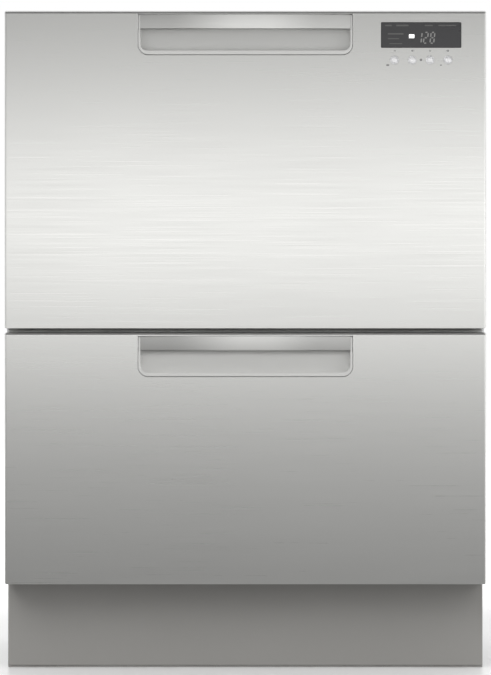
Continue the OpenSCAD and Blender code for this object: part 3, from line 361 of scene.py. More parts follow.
def maths(tree, operation, *values):
    """Result of a maths node with these sockets or numbers as its inputs."""
    node = add(tree, "Math", operation=operation)
    for socket, value in zip(node.inputs, values):
        feed(tree, socket, value)
    return node.outputs[0]


def start(name, colour, **shader_values):
    """New material, its tree and its shader with the values that are the same all over."""
    material = bpy.data.materials.new(name)
    material.use_nodes = True
    material.diffuse_color = (*colour, 1)
    tree = material.node_tree
    shader = tree.nodes["Principled BSDF"]
    for key, value in shader_values.items():
        shader.inputs[key.replace("_", " ")].default_value = value
    return material, tree, shader


def at_object(tree):
    """Object coordinates."""
    return add(tree, "TexCoord").outputs["Object"]


def stretched(tree, scale=(1, 1, 1)):
    """Object coordinates, stretched."""
    return add(tree, "Mapping", Vector=at_object(tree), Scale=scale).outputs[0]


def noise(tree, scale, detail, stretch=(1, 1, 1), **options):
    """Noise of a scale and detail over stretched object coordinates."""
    at = stretched(tree, stretch)
    return add(tree, "TexNoise", Vector=at, Scale=scale, Detail=detail, **options).outputs[0]


def shade(tree, factor, colour, low, high):
    """Colour between low and high times the base colour."""
    mix = add(tree, "Mix", data_type="RGBA")
    for index, value in ((0, factor), (6, [c * low for c in colour] + [1]),
                         (7, [min(c * high, 1) for c in colour] + [1])):
        feed(tree, mix.inputs[index], value)
    return mix.outputs[2]


def ranged(tree, value, low, high):
    """The middle half of a noise's range, spread from low to high."""
    return add(tree, "MapRange", Value=value, From_Min=0.25, From_Max=0.75, To_Min=low,
               To_Max=high).outputs["Result"]


def eased(tree, value, begin, end, low, high):
    """Smooth step from low to high between two values."""
    return add(tree, "MapRange", Value=value, From_Min=begin, From_Max=end, To_Min=low, To_Max=high,
               interpolation_type="SMOOTHSTEP").outputs["Result"]


def wire_up(tree, shader, colour, roughness=None, height=None, depth=0.1, strength=0.3):
    """Feeds the shader its colour, its roughness and a bump of a depth in millimetres."""
    feed(tree, shader.inputs["Base Color"], colour)
    if roughness is not None:
        feed(tree, shader.inputs["Roughness"], roughness)
    if height is not None:
        bump = add(tree, "Bump", Height=height, Strength=strength, Distance=depth * MM)
        feed(tree, shader.inputs["Normal"], bump.outputs[0])


def brushed(name, colour, rough=0.36, grain=(6, 1100, 1100), metallic=1.0, depth=0.009):
    """Metal brushed along the axis with the small number in grain."""
    material, tree, shader = start(name, colour, Metallic=metallic)
    lines = noise(tree, 1, 4, grain, Roughness=0.6)
    broad = maths(tree, "MULTIPLY_ADD", noise(tree, 2.5, 2), 0.3, -0.15)
    wire_up(tree, shader, shade(tree, lines, colour, 0.98, 1.02),
            ranged(tree, maths(tree, "ADD", lines, broad), rough - 0.04, rough + 0.05), lines, depth)
    return material


def painted_reflection_grip(name, colour):
    """Steel brushed along the bar, with a painted reflection: full colour in its middle and painted shade
    that darkens it towards its ends.
    """
    material = brushed(name, colour, 0.44, (4, 900, 900))
    tree = material.node_tree
    base = tree.nodes["Principled BSDF"].inputs["Base Color"]
    # Painted reflection and shade: the base colour is scaled down from the middle to 0.63 at the left end and
    # 0.75 at the right end
    across = add(tree, "SeparateXYZ", Vector=stretched(tree)).outputs[0]
    left = eased(tree, across, -0.1, 0.0, 0.63, 1.0)
    right = eased(tree, across, 0.02, 0.1, 1.0, 0.75)
    painted_reflection = add(tree, "VectorMath", operation="SCALE", Vector=base.links[0].from_socket,
               Scale=maths(tree, "MULTIPLY", left, right))
    feed(tree, base, painted_reflection.outputs[0])
    return material


def moulded(name, colour, rough=0.45, grain=900, depth=0.03, metallic=0.0, coat=0.0):
    """Moulded plastic: fine spark-eroded grain with broad, faint flow marks."""
    material, tree, shader = start(name, colour, Metallic=metallic, Coat_Weight=coat)
    flow = noise(tree, 4, 1)
    wire_up(tree, shader, shade(tree, flow, colour, 0.975, 1.025),
            ranged(tree, flow, rough - 0.02, rough + 0.03), noise(tree, grain, 2), depth, 0.25)
    return material


def galvanised(name, colour, rough=0.42):
    """Zinc-coated sheet with its crystal pattern."""
    material, tree, shader = start(name, colour, Metallic=0.85)
    warp = add(tree, "TexNoise", Vector=stretched(tree), Scale=60, Detail=2)
    bend = add(tree, "Mix", data_type="VECTOR")
    feed(tree, bend.inputs[0], 0.03)
    feed(tree, bend.inputs[4], stretched(tree))
    feed(tree, bend.inputs[5], warp.outputs[1])
    crystals = add(tree, "TexVoronoi", Vector=bend.outputs[1], Scale=170, Randomness=1.0)
    tone = add(tree, "SeparateColor", Color=crystals.outputs["Color"]).outputs[0]
    wire_up(tree, shader, shade(tree, tone, colour, 0.93, 1.04),
            ranged(tree, tone, rough - 0.04, rough + 0.05), tone, 0.01, 0.15)
    return material


def rubber(name, colour, rough=0.7):
    """Rubber with a fine grain and a broad, dull bloom."""
    material, tree, shader = start(name, colour, Specular_IOR_Level=0.35)
    bloom = noise(tree, 12, 4)
    wire_up(tree, shader, shade(tree, bloom, colour, 0.85, 1.25),
            ranged(tree, bloom, rough - 0.08, rough + 0.1), noise(tree, 600, 3), 0.04)
    return material


def coated_wire(name, colour):
    """Nylon dipped over wire: smooth, with slow ripples."""
    material, tree, shader = start(name, colour, Coat_Weight=0.25, Coat_Roughness=0.2)
    ripple = noise(tree, 90, 2)
    wire_up(tree, shader, shade(tree, ripple, colour, 0.93, 1.06),
            ranged(tree, ripple, 0.3, 0.42), ripple, 0.15)
    return material


def smoked(name, colour):
    """Smoked display window: smooth, with a trace of wiped streaks."""
    material, tree, shader = start(name, colour, Coat_Weight=0.4, Coat_Roughness=0.12)
    wiped = noise(tree, 1, 3, (12, 40, 90))
    wire_up(tree, shader, shade(tree, wiped, colour, 0.92, 1.1), ranged(tree, wiped, 0.24, 0.34), wiped, 0.01)
    return material


def lit(name, colour, glow=0.0):
    """Lit or dim figure behind the window."""
    material, tree, shader = start(name, colour, Roughness=0.5, Emission_Strength=glow,
                                   Emission_Color=(*colour, 1))
    wire_up(tree, shader, shade(tree, noise(tree, 400, 1), colour, 0.96, 1.04))
    return material


def finish(slot):
    """Material of one of the record's slots, made when it is first asked for."""
    name = "washer " + slot
    made = bpy.data.materials.get(name)
    if made:
        return made
    colours = bpy.context.scene.washer_colours
    chosen = {"stainless": colours.steel, "grip": colours.grip, "recess": colours.recess, "toe": colours.toe,
              "display": colours.window, "wire": colours.wire, "tub": colours.tub}
    makers = {
        "stainless": (brushed, 0.3),
        "grip": (painted_reflection_grip,),
        "recess": (brushed, 0.36, (30, 300, 300), 0.8),
        "toe": (moulded, 0.5, 1200, 0.01),
        "display": (smoked,),
        "button": (moulded, 0.46, 2500, 0.0002, 0.6),
        "cabinet": (galvanised,),
        "base": (galvanised,),
        "runner": (brushed, 0.38, (260, 12, 260), 1.0, 0.01),
        "screw": (brushed, 0.38, (260, 12, 260), 1.0, 0.01),
        "seal": (rubber,),
        "hose": (rubber,),
        "wire": (coated_wire,),
        "tub": (moulded, 0.3, 500, 0.02, 0.0, 0.1),
    }
    make, *values = makers.get(slot, (moulded,))
    return make(name, chosen.get(slot, RECORD_COLOURS[slot]), *values)


def dress(node):
    """Gives a CAD node that stays the material of its slot."""
    slot = next(s["material_slot"] for s in frame["record"]["subparts"] if s["node"] == node)
    thing = frame["nodes"][node]
    thing.data.materials.clear()
    thing.data.materials.append(finish(slot))


# ---------- fronts and handles ----------


def window_tool(drawer, inset=0.0, depth=(-3, 6)):
    """Block that cuts the handle's window, drawn in by inset."""
    sizes = bpy.context.scene.washer_sizes
    low, high = cad(f"{drawer}_front_skin")
    half = sizes.window_width / MM / 2 - inset
    z1 = high.z - sizes.window_strip / MM - inset
    z0 = high.z - sizes.window_strip / MM - sizes.window_height / MM + inset
    tool = block((-half, low.y + depth[0], z0), (half, low.y + depth[1], z1))
    radius = sizes.window_corner / MM - inset
    return soften(tool, radius, 8, lambda e: along(Y)(e) and e.verts[0].co.z < z0 + 1)


def front_sheet(drawer):
    """Folded steel sheet with its window, and on the upper one the display and button holes."""
    sizes = bpy.context.scene.washer_sizes
    low, high = cad(f"{drawer}_front_skin")
    fold, sheet = sizes.fold_radius / MM, sizes.sheet / MM
    corner, upright, hem, lead = 2.5, 2.7, 0.22, 0.8
    pane_corner, key_hole = 1.2, 5.6

    def share(edge):
        if all(v.co.y > high.y - 0.1 for v in edge.verts):
            return 0
        if along(Y)(edge):
            return corner / fold
        if along(Z)(edge):
            return upright / fold
        return 1 if edge.verts[0].co.z > low.z + 5 else hem / fold

    shell = folded_block(low, high, fold, share)
    inside = block(low + Vector((sheet, sheet, sheet)), high + Vector((-sheet, 5, -sheet)))
    inside = soften(inside, fold * 0.4, 3, lambda e: not all(v.co.y > high.y for v in e.verts))
    shell = carved(shell, inside)
    lead_in = window_tool(drawer, -lead, (-3, lead))
    lead_in = soften(lead_in, lead, 1, lambda e: all(v.co.y > low.y + lead - 0.1 for v in e.verts))
    shell = carved(shell, lead_in)
    tools = [window_tool(drawer)]
    if drawer == "upper":
        y0, y1 = low.y - 3, low.y + 6
        pane_low, pane_high = cad("display_window")
        tools.append(rounded_block((pane_low.x, y0, pane_low.z), (pane_high.x, y1, pane_high.z),
                                   pane_corner, Y, 4))
        for key in KEYS:
            middle = centre(f"{key}_button")
            tools.append(rod((middle.x, y0, middle.z), (middle.x, y1, middle.z), key_hole, 32))
    drawer_piece(drawer, "front_sheet", carved(shell, *tools), "drawer", "stainless", "front_skin", edge=0.3)


def handle_pocket(drawer):
    """Finger pocket behind the grip, with its inner corners round."""
    low, high = cad(f"{drawer}_handle_recess")
    bar_low, bar_high = cad(f"{drawer}_grip_bar")
    front = cad(f"{drawer}_front_skin")[0].y
    body = window_tool(drawer, 0.4, (0.5, high.y - front))
    rim, undercut, wall, corner, back_corner = 3.0, 1.2, 1.5, 8.5, 1.4
    z0 = low.z + 1.8 * rim
    back = high.y - wall
    hollow = block((low.x + rim, front - 2, z0), (high.x - rim, back, high.z - wall))
    for v in hollow.verts:
        if v.co.y > front:
            v.co.x += math.copysign(undercut, v.co.x)
            if v.co.z < z0 + 1:
                v.co.z -= undercut

    def low_corner(edge):
        ends = [v.co for v in edge.verts]
        return max(e.z for e in ends) < z0 + 1 and ends[0].x * ends[1].x > 0

    def around_back(edge):
        return all(v.co.y > back - 0.1 for v in edge.verts) and any(v.co.z < high.z - 2 for v in edge.verts)

    hollow = soften(hollow, corner, 8, low_corner)
    hollow = soften(hollow, back_corner, 4, around_back)
    bay = block((bar_low.x, front - 2, bar_low.z), (bar_high.x, bar_high.y, high.z + 2))
    ends = block((low.x - 5, front - 2, bar_low.z), (high.x + 5, front + 3, high.z + 2))
    for tool in (hollow, bay, ends):
        body = carved(body, tool)
    drawer_piece(drawer, "handle_pocket", body, "drawer", "recess", "handle_recess", edge=0.15)


def grip(drawer):
    """Grip bar, bowed forward in the middle, with its long edges round."""
    low, high = cad(f"{drawer}_grip_bar")
    thick, radius = 5.0, 1.4
    bow = high.y - low.y - thick
    bar = soften(block(low, (high.x, low.y + thick, high.z)), radius, 4,
                 lambda e: along(X)(e) and e.verts[0].co.z < low.z + 1)
    bar = sliced(bar, X, low.x, high.x, 40)
    for v in bar.verts:
        v.co.y += bow * (v.co.x / high.x) ** 2
    drawer_piece(drawer, "grip", bar, "drawer", "grip", "grip_bar")


# ---------- controls ----------

SEGMENTS = {"1": "bc", "2": "abged", "8": "abcdefg"}
# Digit and left edge of each figure
FIGURES = (("1", 213.6), ("2", 221.2), ("8", 229.4))
FIGURE_Z, FIGURE_WIDE, FIGURE_TALL = 779.4, 4.6, 13.4
# Left end, right end, height above the floor and thickness of each bar in the display
LIT_BLOCK = (203.4, 210.0, 788.0, 4.7)
FAINT_BARS = ((173.5, 182, 801.4, 1.6), (187.5, 203, 801.4, 1.9), (223, 233, 801.4, 1.4),
              (240, 262, 801.4, 1.5), (177, 196.5, 791.0, 1.9), (177, 191, 785.0, 1.2),
              (179, 195, 778.8, 1.2))
# Height above the floor of the marks over the keys
MARK_Z = 769.9


def figure(digit, x, z, y, slant=0.12):
    """Bars of a seven-segment figure, clear of each other; x and z are its lower left corner."""
    w, h, thick = FIGURE_WIDE, FIGURE_TALL, FIGURE_TALL * 0.12
    ends = {"a": ((0, h), (w, h)), "b": ((w, h / 2), (w, h)), "c": ((w, 0), (w, h / 2)),
            "d": ((0, 0), (w, 0)), "e": ((0, 0), (0, h / 2)), "f": ((0, h / 2), (0, h)),
            "g": ((0, h / 2), (w, h / 2))}
    bars = []
    short = thick / 2 + 0.1
    for name in SEGMENTS[digit]:
        (x0, z0), (x1, z1) = ends[name]
        dx, dz = (-short, thick / 2) if z0 == z1 else (thick / 2, -short)
        bar = block((x + x0 - dx, y, z + z0 - dz), (x + x1 + dx, y + 0.25, z + z1 + dz))
        for v in bar.verts:
            v.co.x += slant * (v.co.z - z)
        bars.append(soften(bar, thick * 0.3, 1, along(Y)))
    return bars


def display():
    """Smoked window with its lit block, dim figures and dim bars."""
    colours = bpy.context.scene.washer_colours
    low, high = cad("display_window")
    play = Vector((0.25, 0, 0.25))
    pane = rounded_block(low + play, high - play, 1.0, Y, 4)
    piece("display_pane", pane, "upper_drawer", "display", "display_window", edge=0.35)
    face = low.y - 0.12

    def bar(x0, x1, z, tall):
        z0, z1 = z - tall / 2, z + tall / 2
        return rounded_block((x0, face, z0), (x1, face + 0.3, z1), min(0.5, tall * 0.3), Y, 2)

    figures = [segment for digit, x in FIGURES for segment in figure(digit, x, FIGURE_Z, face)]
    for name, shape, material in (
            ("display_lit_block", bar(*LIT_BLOCK), lit("washer lit block", (0.9, 0.9, 0.9), 0.75)),
            ("display_figures", joined(*figures), lit("washer dim figures", colours.dim_figures)),
            ("display_bars", joined(*[bar(*line) for line in FAINT_BARS]),
             lit("washer faint bars", colours.faint_bars))):
        piece(name, shape, "upper_drawer", "display", material=material)


def buttons():
    """Domed keys, the rings that they sit in, and the small printed marks round them."""
    front = cad("upper_front_skin")[0].y
    middles = [centre(f"{key}_button") for key in KEYS]
    key_radius, stem, flange, dome_rise = 4.15, 2.5, 5.0, 1.0
    rings = []
    for name, middle in zip(KEYS, middles):
        depth = cad(f"{name}_button")[1].y - front
        profile = [(0, depth), (stem, depth), (stem, 1.9), (flange, 1.9), (flange, 1.5), (key_radius, 1.5),
                   (key_radius, 1.2)]
        profile += [(key_radius * math.cos(a), 1.2 - dome_rise * math.sin(a))
                    for a in (math.pi * k / 16 for k in range(1, 8))]
        key = turned([(r, -h) for r, h in profile + [(0, 0.2)]], (middle.x, front, middle.z), -Y, 40)
        piece(f"{name}_key", key, f"{name}_button", "button", f"{name}_button")
        ring = [(4.35, 1.3)] + [(4.95 - 0.6 * math.cos(a), 0.6 - 0.5 * math.sin(a))
                                for a in (math.pi * k / 8 for k in range(9))] + [(5.55, 1.3), (4.35, 1.3)]
        rings.append(turned([(r, -h) for r, h in ring], (middle.x, front, middle.z), -Y, 40))
    piece("key_rings", joined(*rings), "upper_drawer", "button")
    y0, y1 = front - 0.02, front + 0.4

    def dot(x, z, radius):
        return rod((x, y0, z), (x, y1, z), radius, 16)

    def dash(x, z, wide, tall):
        return rounded_block((x - wide / 2, y0, z - tall / 2), (x + wide / 2, y1, z + tall / 2),
                             min(wide, tall) * 0.4, Y, 2)

    power, program, option, start_key = [m.x for m in middles]
    marks = [dash(power - 0.3, MARK_Z, 0.7, 2.2), dash(power + 1.0, MARK_Z, 0.7, 2.2),
             dot(program, MARK_Z, 1.25), dash(program + 2.1, MARK_Z, 0.6, 2.0),
             dash(option, MARK_Z + 0.6, 2.8, 0.8), dash(option, MARK_Z - 0.7, 2.0, 0.8),
             dot(start_key, MARK_Z, 1.3), dash(start_key - 2.1, MARK_Z, 0.6, 2.0),
             dash(176.9, 752.0, 3.8, 2.3), dot(218.2, 758.6, 1.6), dash(243.0, 752.0, 2.2, 1.4)]
    ink = moulded("washer printed marks", (0.2, 0.2, 0.2), 0.5)
    piece("printed_marks", joined(*marks), "upper_drawer", "module", material=ink)


def control_housing():
    """Housing behind the display, with wells for the keys and cooling slots."""
    low, high = cad("control_module")
    well, pitch, slot, first = 5.8, 7, 3, 12
    body = rounded_block(low, high, 3, Y, 4)
    wells = [rod((m.x, low.y - 2, m.z), (m.x, low.y + 3.6, m.z), well, 24)
             for m in (centre(f"{key}_button") for key in KEYS)]
    slots = [rounded_block((x, high.y - 1.5, low.z + 10), (x + slot, high.y + 2, low.z + 34), 1.4, Y, 3)
             for x in (low.x + first + pitch * i for i in range(9))]
    body = carved(body, *wells, *slots)
    piece("control_housing", body, "upper_drawer", "module", "control_module", edge=0.6)


# ---------- cabinet ----------

# Thickness of the cabinet's sheet, and height of the runners' middle above the floor
CABINET_SHEET = 1.2
RUNNER_LEVELS = (275, 675)
# Front, back, foot and top of each pressed field in the side sheets
SIDE_FIELDS = ((-172, 152, 300, 650), (-215, 255, 125, 240), (-215, 255, 712, 792))
# Place along the depth, heights and radius of the fixing holes
FIXING_Y, FIXING_LEVELS, FIXING_RADIUS = -250, (178, 778), 2.75


def side_sheet(side):
    """Folded side sheet with pressed fields, drawn for the right and mirrored for the left."""
    low, high = cad("right_side_panel")
    pan_low = cad("base_pan")[0]
    inner = high.x - CABINET_SHEET
    notch = cad("lower_front_skin")[0].z
    web = block((inner, low.y, low.z), high)
    web = carved(web, block((inner - 5, low.y - 5, low.z - 5), (high.x + 5, pan_low.y, notch)))
    fields = [rounded_block((high.x - 0.4, y0, z0), (high.x + 0.9, y1, z1), 18, X, 5)
              for y0, y1, z0, z1 in SIDE_FIELDS]
    web = carved(web, *fields, operation="UNION")
    holes = [rod((inner - 5, FIXING_Y, z), (high.x + 5, FIXING_Y, z), FIXING_RADIUS, 24)
             for z in FIXING_LEVELS]
    web = carved(web, *holes)
    flange = block((low.x, low.y + 0.01, notch), (inner + 0.6, low.y + CABINET_SHEET, high.z - 0.01))
    gates = [block((low.x - 5, low.y - 5, z - 24), (inner - 1, low.y + 5, z + 24)) for z in RUNNER_LEVELS]
    flange = carved(flange, *gates)
    rear_y, rear_z = cad("back_panel")[0].y, cad("base_pan")[1].z + 2
    rear = block((low.x, rear_y - CABINET_SHEET, rear_z), (inner + 0.6, rear_y, high.z - CABINET_SHEET))
    whole = carved(web, flange, rear, operation="UNION")
    if side == "left":
        mirrored(whole)
    piece(f"{side}_side_sheet", whole, "cabinet", "cabinet", f"{side}_side_panel", edge=0.35)


def toe_cover():
    """Toe plate: front, returns and hem folded from one sheet."""
    low, high = cad("toe_plate")
    sheet, fold, hem, return_top = CABINET_SHEET, 1.9, 10, 87.5
    body = soften(block(low, high), fold, 4, lambda e: all(v.co.y < low.y + 1 for v in e.verts)
                  and not all(v.co.z > high.z - 1 for v in e.verts))
    inside = block(low + Vector((sheet, sheet, sheet)), high + Vector((-sheet, 5, 5)))
    below = block((low.x + sheet, low.y + sheet + hem, low.z - 5), (high.x - sheet, high.y + 5, low.z + 5))
    above = block((low.x - 5, low.y + sheet, return_top), high + Vector((5, 5, 5)))
    for tool in (inside, below, above):
        body = carved(body, tool)
    piece("toe_cover", body, "cabinet", "toe", "toe_plate", edge=0.3)


def soft_strips():
    """Soft strip and lip in the gap between the fronts, and the lip along the toe plate's foot."""
    low, high = cad("cross_rail")
    rail = rounded_block((low.x + 1, low.y - 1.9, low.z + 0.5), (high.x - 1, low.y, high.z - 0.5), 0.9, X, 3)
    play, reach = 0.7, 17.5
    gap_low, gap_high = cad("lower_front_skin")[1].z + play, cad("upper_front_skin")[0].z - play
    lip = block((low.x + 1, low.y - reach, gap_low), (high.x - 1, low.y - 1.0, gap_high))
    for v in lip.verts:
        if v.co.z > gap_low + 1 and v.co.y < low.y - 5:
            v.co.y = low.y - 3
    strip = joined(rail, soften(lip, 0.25, 2))
    piece("rail_strip", strip, "cabinet", "seal", material=rubber("washer soft strip", (0.8, 0.8, 0.79)))
    low, high = cad("toe_plate")
    lip = soften(block((low.x + 0.2, low.y + 0.1, 0.3), (high.x - 0.2, low.y + 1.1, low.z)), 0.25, 2)
    piece("toe_lip", lip, "cabinet", "toe")


def foot(corner):
    """Levelling foot: ribbed pad, nut and threaded stem."""
    top, middle = cad(f"foot_{corner}")[1].z, centre(f"foot_{corner}")
    at = (middle.x, middle.y, 0)
    pad = turned([(0, 1.2), (17, 1.2), (18.5, 0), (21, 0), (22, 1), (22, 5), (20.5, 6.5), (12, 8), (0, 8)],
                 at, Z, 40)
    nut = bmesh.new()
    bmesh.ops.create_cone(nut, cap_ends=True, segments=6, radius1=10, radius2=10, depth=8)
    bmesh.ops.translate(nut, vec=(middle.x, middle.y, 12), verts=nut.verts)
    soften(nut, 0.8, 2)
    pitch, crest, root = 1.75, 6, 5.2
    thread = [(0, 8), (root, 8), (root, 16.2)]
    for k in range(int((top - 18) / pitch)):
        z = k * pitch
        thread += [(crest, 16.6 + z), (crest, 16.9 + z), (root, 17.5 + z)]
    stem = turned(thread + [(root, top - 1), (4.4, top), (0, top)], at, Z, 20)
    piece(f"{corner}_foot", joined(pad, nut, stem), f"foot_{corner}", "foot", f"foot_{corner}")


def screw_head(at, axis):
    """Pan head with a cross recess."""
    head = turned([(0, 0), (4, 0), (4, 0.5), (3.6, 1.3), (2.6, 1.85), (0, 2.0)], (0, 0, 0), Z, 20)
    arm, half, floor = 2.1, 0.4, 0.8
    head = carved(head, block((-arm, -half, floor), (arm, half, 3)))
    head = carved(head, block((-half, -arm, floor), (half, -half, 3)),
                  block((-half, half, floor), (half, arm, 3)))
    return stood(joined(head, rod((0, 0, -2.6), (0, 0, 0.1), 2.0, 12)), at, axis)


def screws():
    """Screws of the runners in the side sheets, and of the back panel."""
    face = cad("right_side_panel")[1].x
    rear_x, rear_y, rear_levels = 291.5, cad("cabinet_screws")[1].y - 2, (220, 504, 778)
    runner_y = (-200, 180)
    heads = [screw_head((s * face, y, z), (s, 0, 0))
             for s in (-1, 1) for z in RUNNER_LEVELS for y in runner_y]
    heads += [screw_head((s * rear_x, rear_y, z), Y) for s in (-1, 1) for z in rear_levels]
    piece("pan_head_screws", joined(*heads), "cabinet", "screw", "cabinet_screws")


def fittings():
    """Inlet valve with coil and thread, drain elbow, and the bush of the mains lead."""
    low, high = cad("service_fittings")
    inlet, drain, lead, port_z = low.x + 24, high.x - 51, high.x - 14, low.z + 46
    valve_back, elbow_back, bush_front = low.y + 34, low.y + 24, high.y - 10

    def housing(x, half, y0, y1, z1, radius, axis, segments):
        return rounded_block((x - half, y0, low.z), (x + half, y1, z1), radius, axis, segments)

    def port(x, y0, radius):
        return rod((x, y0, port_z), (x, high.y + 10, port_z), radius, 32)

    def fitting(profile, x, y, steps):
        return turned(profile, (x, y, port_z), Y, steps)

    pitch, crest, bore, drain_bore, lead_bore = 1.8, 13.2, 9.7, 8.5, 4.0
    valve = housing(inlet, 24, low.y, valve_back, high.z, 4, Z, 3)
    valve = carved(valve, port(inlet, valve_back - 8.8, bore))
    thread = [(bore, 0), (crest, 0)]
    for k in range(6):
        y = pitch * k
        thread += [(crest, 2.0 + y), (crest - 0.8, 2.6 + y), (crest, 3.3 + y)]
    thread += [(crest - 0.2, 14.0), (bore, 14.0), (bore, 0)]
    ribs = [block((x, low.y - 0.9, low.z + 10), (x + 2, low.y + 0.2, high.z - 24))
            for x in (low.x + 2 + 6 * k for k in range(8))]
    elbow = housing(drain, 16, low.y, elbow_back, high.z - 4, 5, Y, 4)
    elbow = carved(elbow, port(drain, elbow_back - 6.8, drain_bore))
    barbs = [(drain_bore, 0), (10.5, 0), (10.5, 6), (9.9, 8), (10.5, 8.4), (9.9, 13), (10.5, 13.4),
             (9.9, 18), (10.5, 18.4), (9.7, 24), (drain_bore, 24), (drain_bore, 0)]
    bush = housing(lead, 14, bush_front, high.y, high.z - 6, 5, Y, 4)
    bush = carved(bush, port(lead, bush_front - 10, lead_bore))
    collar = [(lead_bore, 0), (8.5, 0), (8.5, 0.9), (7, 1.4), (lead_bore, 1.4), (lead_bore, 0)]
    whole = joined(valve, fitting(thread, inlet, valve_back, 48), *ribs, elbow,
                   fitting(barbs, drain, elbow_back, 40), bush, fitting(collar, lead, high.y - 0.1, 32))
    piece("service_connections", whole, "cabinet", "fitting", "service_fittings", edge=0.2)


# ---------- tub's measures ----------

TUB_WALL, TUB_RIM, TUB_CORNER = 3.0, 4.0, 40.0


def tub_box(drawer):
    """Corners of the tub's outer wall without its rim and brackets."""
    low, high = cad(f"{drawer}_tub")
    front = cad(f"{drawer}_lid")[0].y + TUB_RIM
    half = high.x - TUB_RIM
    return Vector((-half, front, low.z)), Vector((half, high.y - TUB_RIM, high.z))


def tub_plan(drawer, grown, z0, z1):
    """Block over the tub's plan, grown on every side, between two heights."""
    low, high = tub_box(drawer)
    return rounded_block((low.x - grown, low.y - grown, z0), (high.x + grown, high.y + grown, z1),
                         TUB_CORNER + grown)


# ---------- hoses ----------

HOSE_RADIUS, HOSE_BEND = 9.0, 30.0
# Offsets from the middle of the space behind the tubs, as in the part's source
RISER_FOOT = ((-160, 0, 35), (-200, 4, 42), (-226, 10, 64), (-232, 13, 105), (-232, 15, 190))
RISER = ((-232, 15, -64), (-232, 15, 26), (-230, 13, 106), (-212, 7, 166), (-170, 2, 204), (-110, -1, 218),
         (-50, -1, 214), (0, -1, 186), (40, -1, 138), (76, -1, 82), (112, -2, 40))
FLOOR_RUN = ((-80, -1, 104), (-79, -1, 154), (-64, -1, 198), (-30, -1, 220), (6, -1, 214), (34, -1, 186),
             (48, -1, 144), (58, -1, 99), (76, -1, 58), (106, -2, 30))
# x, share of the way forward and height above the pump
FORWARD = ((142, 0.05, 22), (163, 0.19, 20), (171, 0.4, 20), (172, 0.65, 20), (172, 0.87, 21))


def hose_route(drawer):
    """The route of a hose link from its fitting to the pump under its tub."""
    tub_low, tub_high = tub_box(drawer)
    tub_y = (tub_low.y + tub_high.y) / 2
    hose_y = (tub_high.y + cad("back_panel")[0].y) / 2
    valve_low, valve_high = cad("service_fittings")
    pump_low, pump_high = cad(f"{drawer}_wash_pump")
    if drawer == "upper":
        begin = Vector((valve_low.x, hose_y, valve_low.z + 34))
        route = [begin - Vector((12 * k, 0, 0)) for k in range(3)]
        route += [Vector((x, hose_y + y, valve_low.z + z)) for x, y, z in RISER_FOOT]
        behind = RISER
    else:
        begin = Vector((valve_low.x + 24, hose_y, valve_high.z))
        route = [begin + Vector((0, 0, 12 * k)) for k in range(3)]
        behind = FLOOR_RUN
    route += [Vector((x, hose_y + y, pump_low.z + z)) for x, y, z in behind]
    forward = tub_y + HOSE_BEND - hose_y
    route += [Vector((x, hose_y + share * forward, pump_low.z + z)) for x, share, z in FORWARD]
    spigot, r, half = pump_high.x, HOSE_BEND, math.sin(math.radians(45))
    last_bend = ((2 * r, r), (r * (1 + half), r * (1 - half)), (r, 0), (r / 2, 0), (0, 0))
    return route + [Vector((spigot + x, tub_y + y, pump_low.z + 22)) for x, y in last_bend]


def smooth_path(points, pitch):
    """Catmull-Rom curve through the points, cut into even steps."""
    fine, cuts = [], 24
    for i in range(len(points) - 1):
        a, b, c, e = points[max(i - 1, 0)], points[i], points[i + 1], points[min(i + 2, len(points) - 1)]
        for t in (k / cuts for k in range(cuts)):
            fine.append(0.5 * (2 * b + (c - a) * t + (2 * a - 5 * b + 4 * c - e) * t * t
                               + (3 * b - a - 3 * c + e) * t ** 3))
    fine.append(points[-1])
    even, left = [fine[0]], pitch
    for a, b in zip(fine, fine[1:]):
        span = (b - a).length
        while span >= left:
            a = a.lerp(b, left / span)
            span = (b - a).length
            even.append(a.copy())
            left = pitch
        left -= span
    return even + [fine[-1]]


def hose(drawer):
    """Ribbed hose with plain cuffs at its ends, and a clamp on each cuff."""
    path = smooth_path(hose_route(drawer), 2.2)
    last, cuff, ribs = len(path) - 1, 12, (1.0, 0.98, 0.84, 0.84)
    tube = [(*p, 1.0 if k < cuff or k > last - cuff else ribs[k % 4]) for k, p in enumerate(path)]
    body = wires([tube], HOSE_RADIUS, 16)
    link = piece(f"{drawer}_ribbed_hose", body, None, "hose", f"{drawer}_hose_link")
    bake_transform(link)
    inner, outer, half = HOSE_RADIUS - 0.2, HOSE_RADIUS + 0.8, 3
    for at, way, owner in ((path[3], path[5] - path[3], "cabinet"),
                           (path[-4], path[-4] - path[-6], f"{drawer}_drawer")):
        section = [(inner, -half), (outer, -half), (outer, half), (inner, half), (inner, -half)]
        band = turned(section, at, way, 32)
        ear = soften(stood(block((-2.5, outer - 0.6, -half), (2.5, outer + 2.7, half)), at, way), 0.6, 2)
        piece(f"{drawer}_{owner.split('_')[-1]}_clamp", joined(band, ear), owner, "screw")


# ---------- tubs and lids ----------


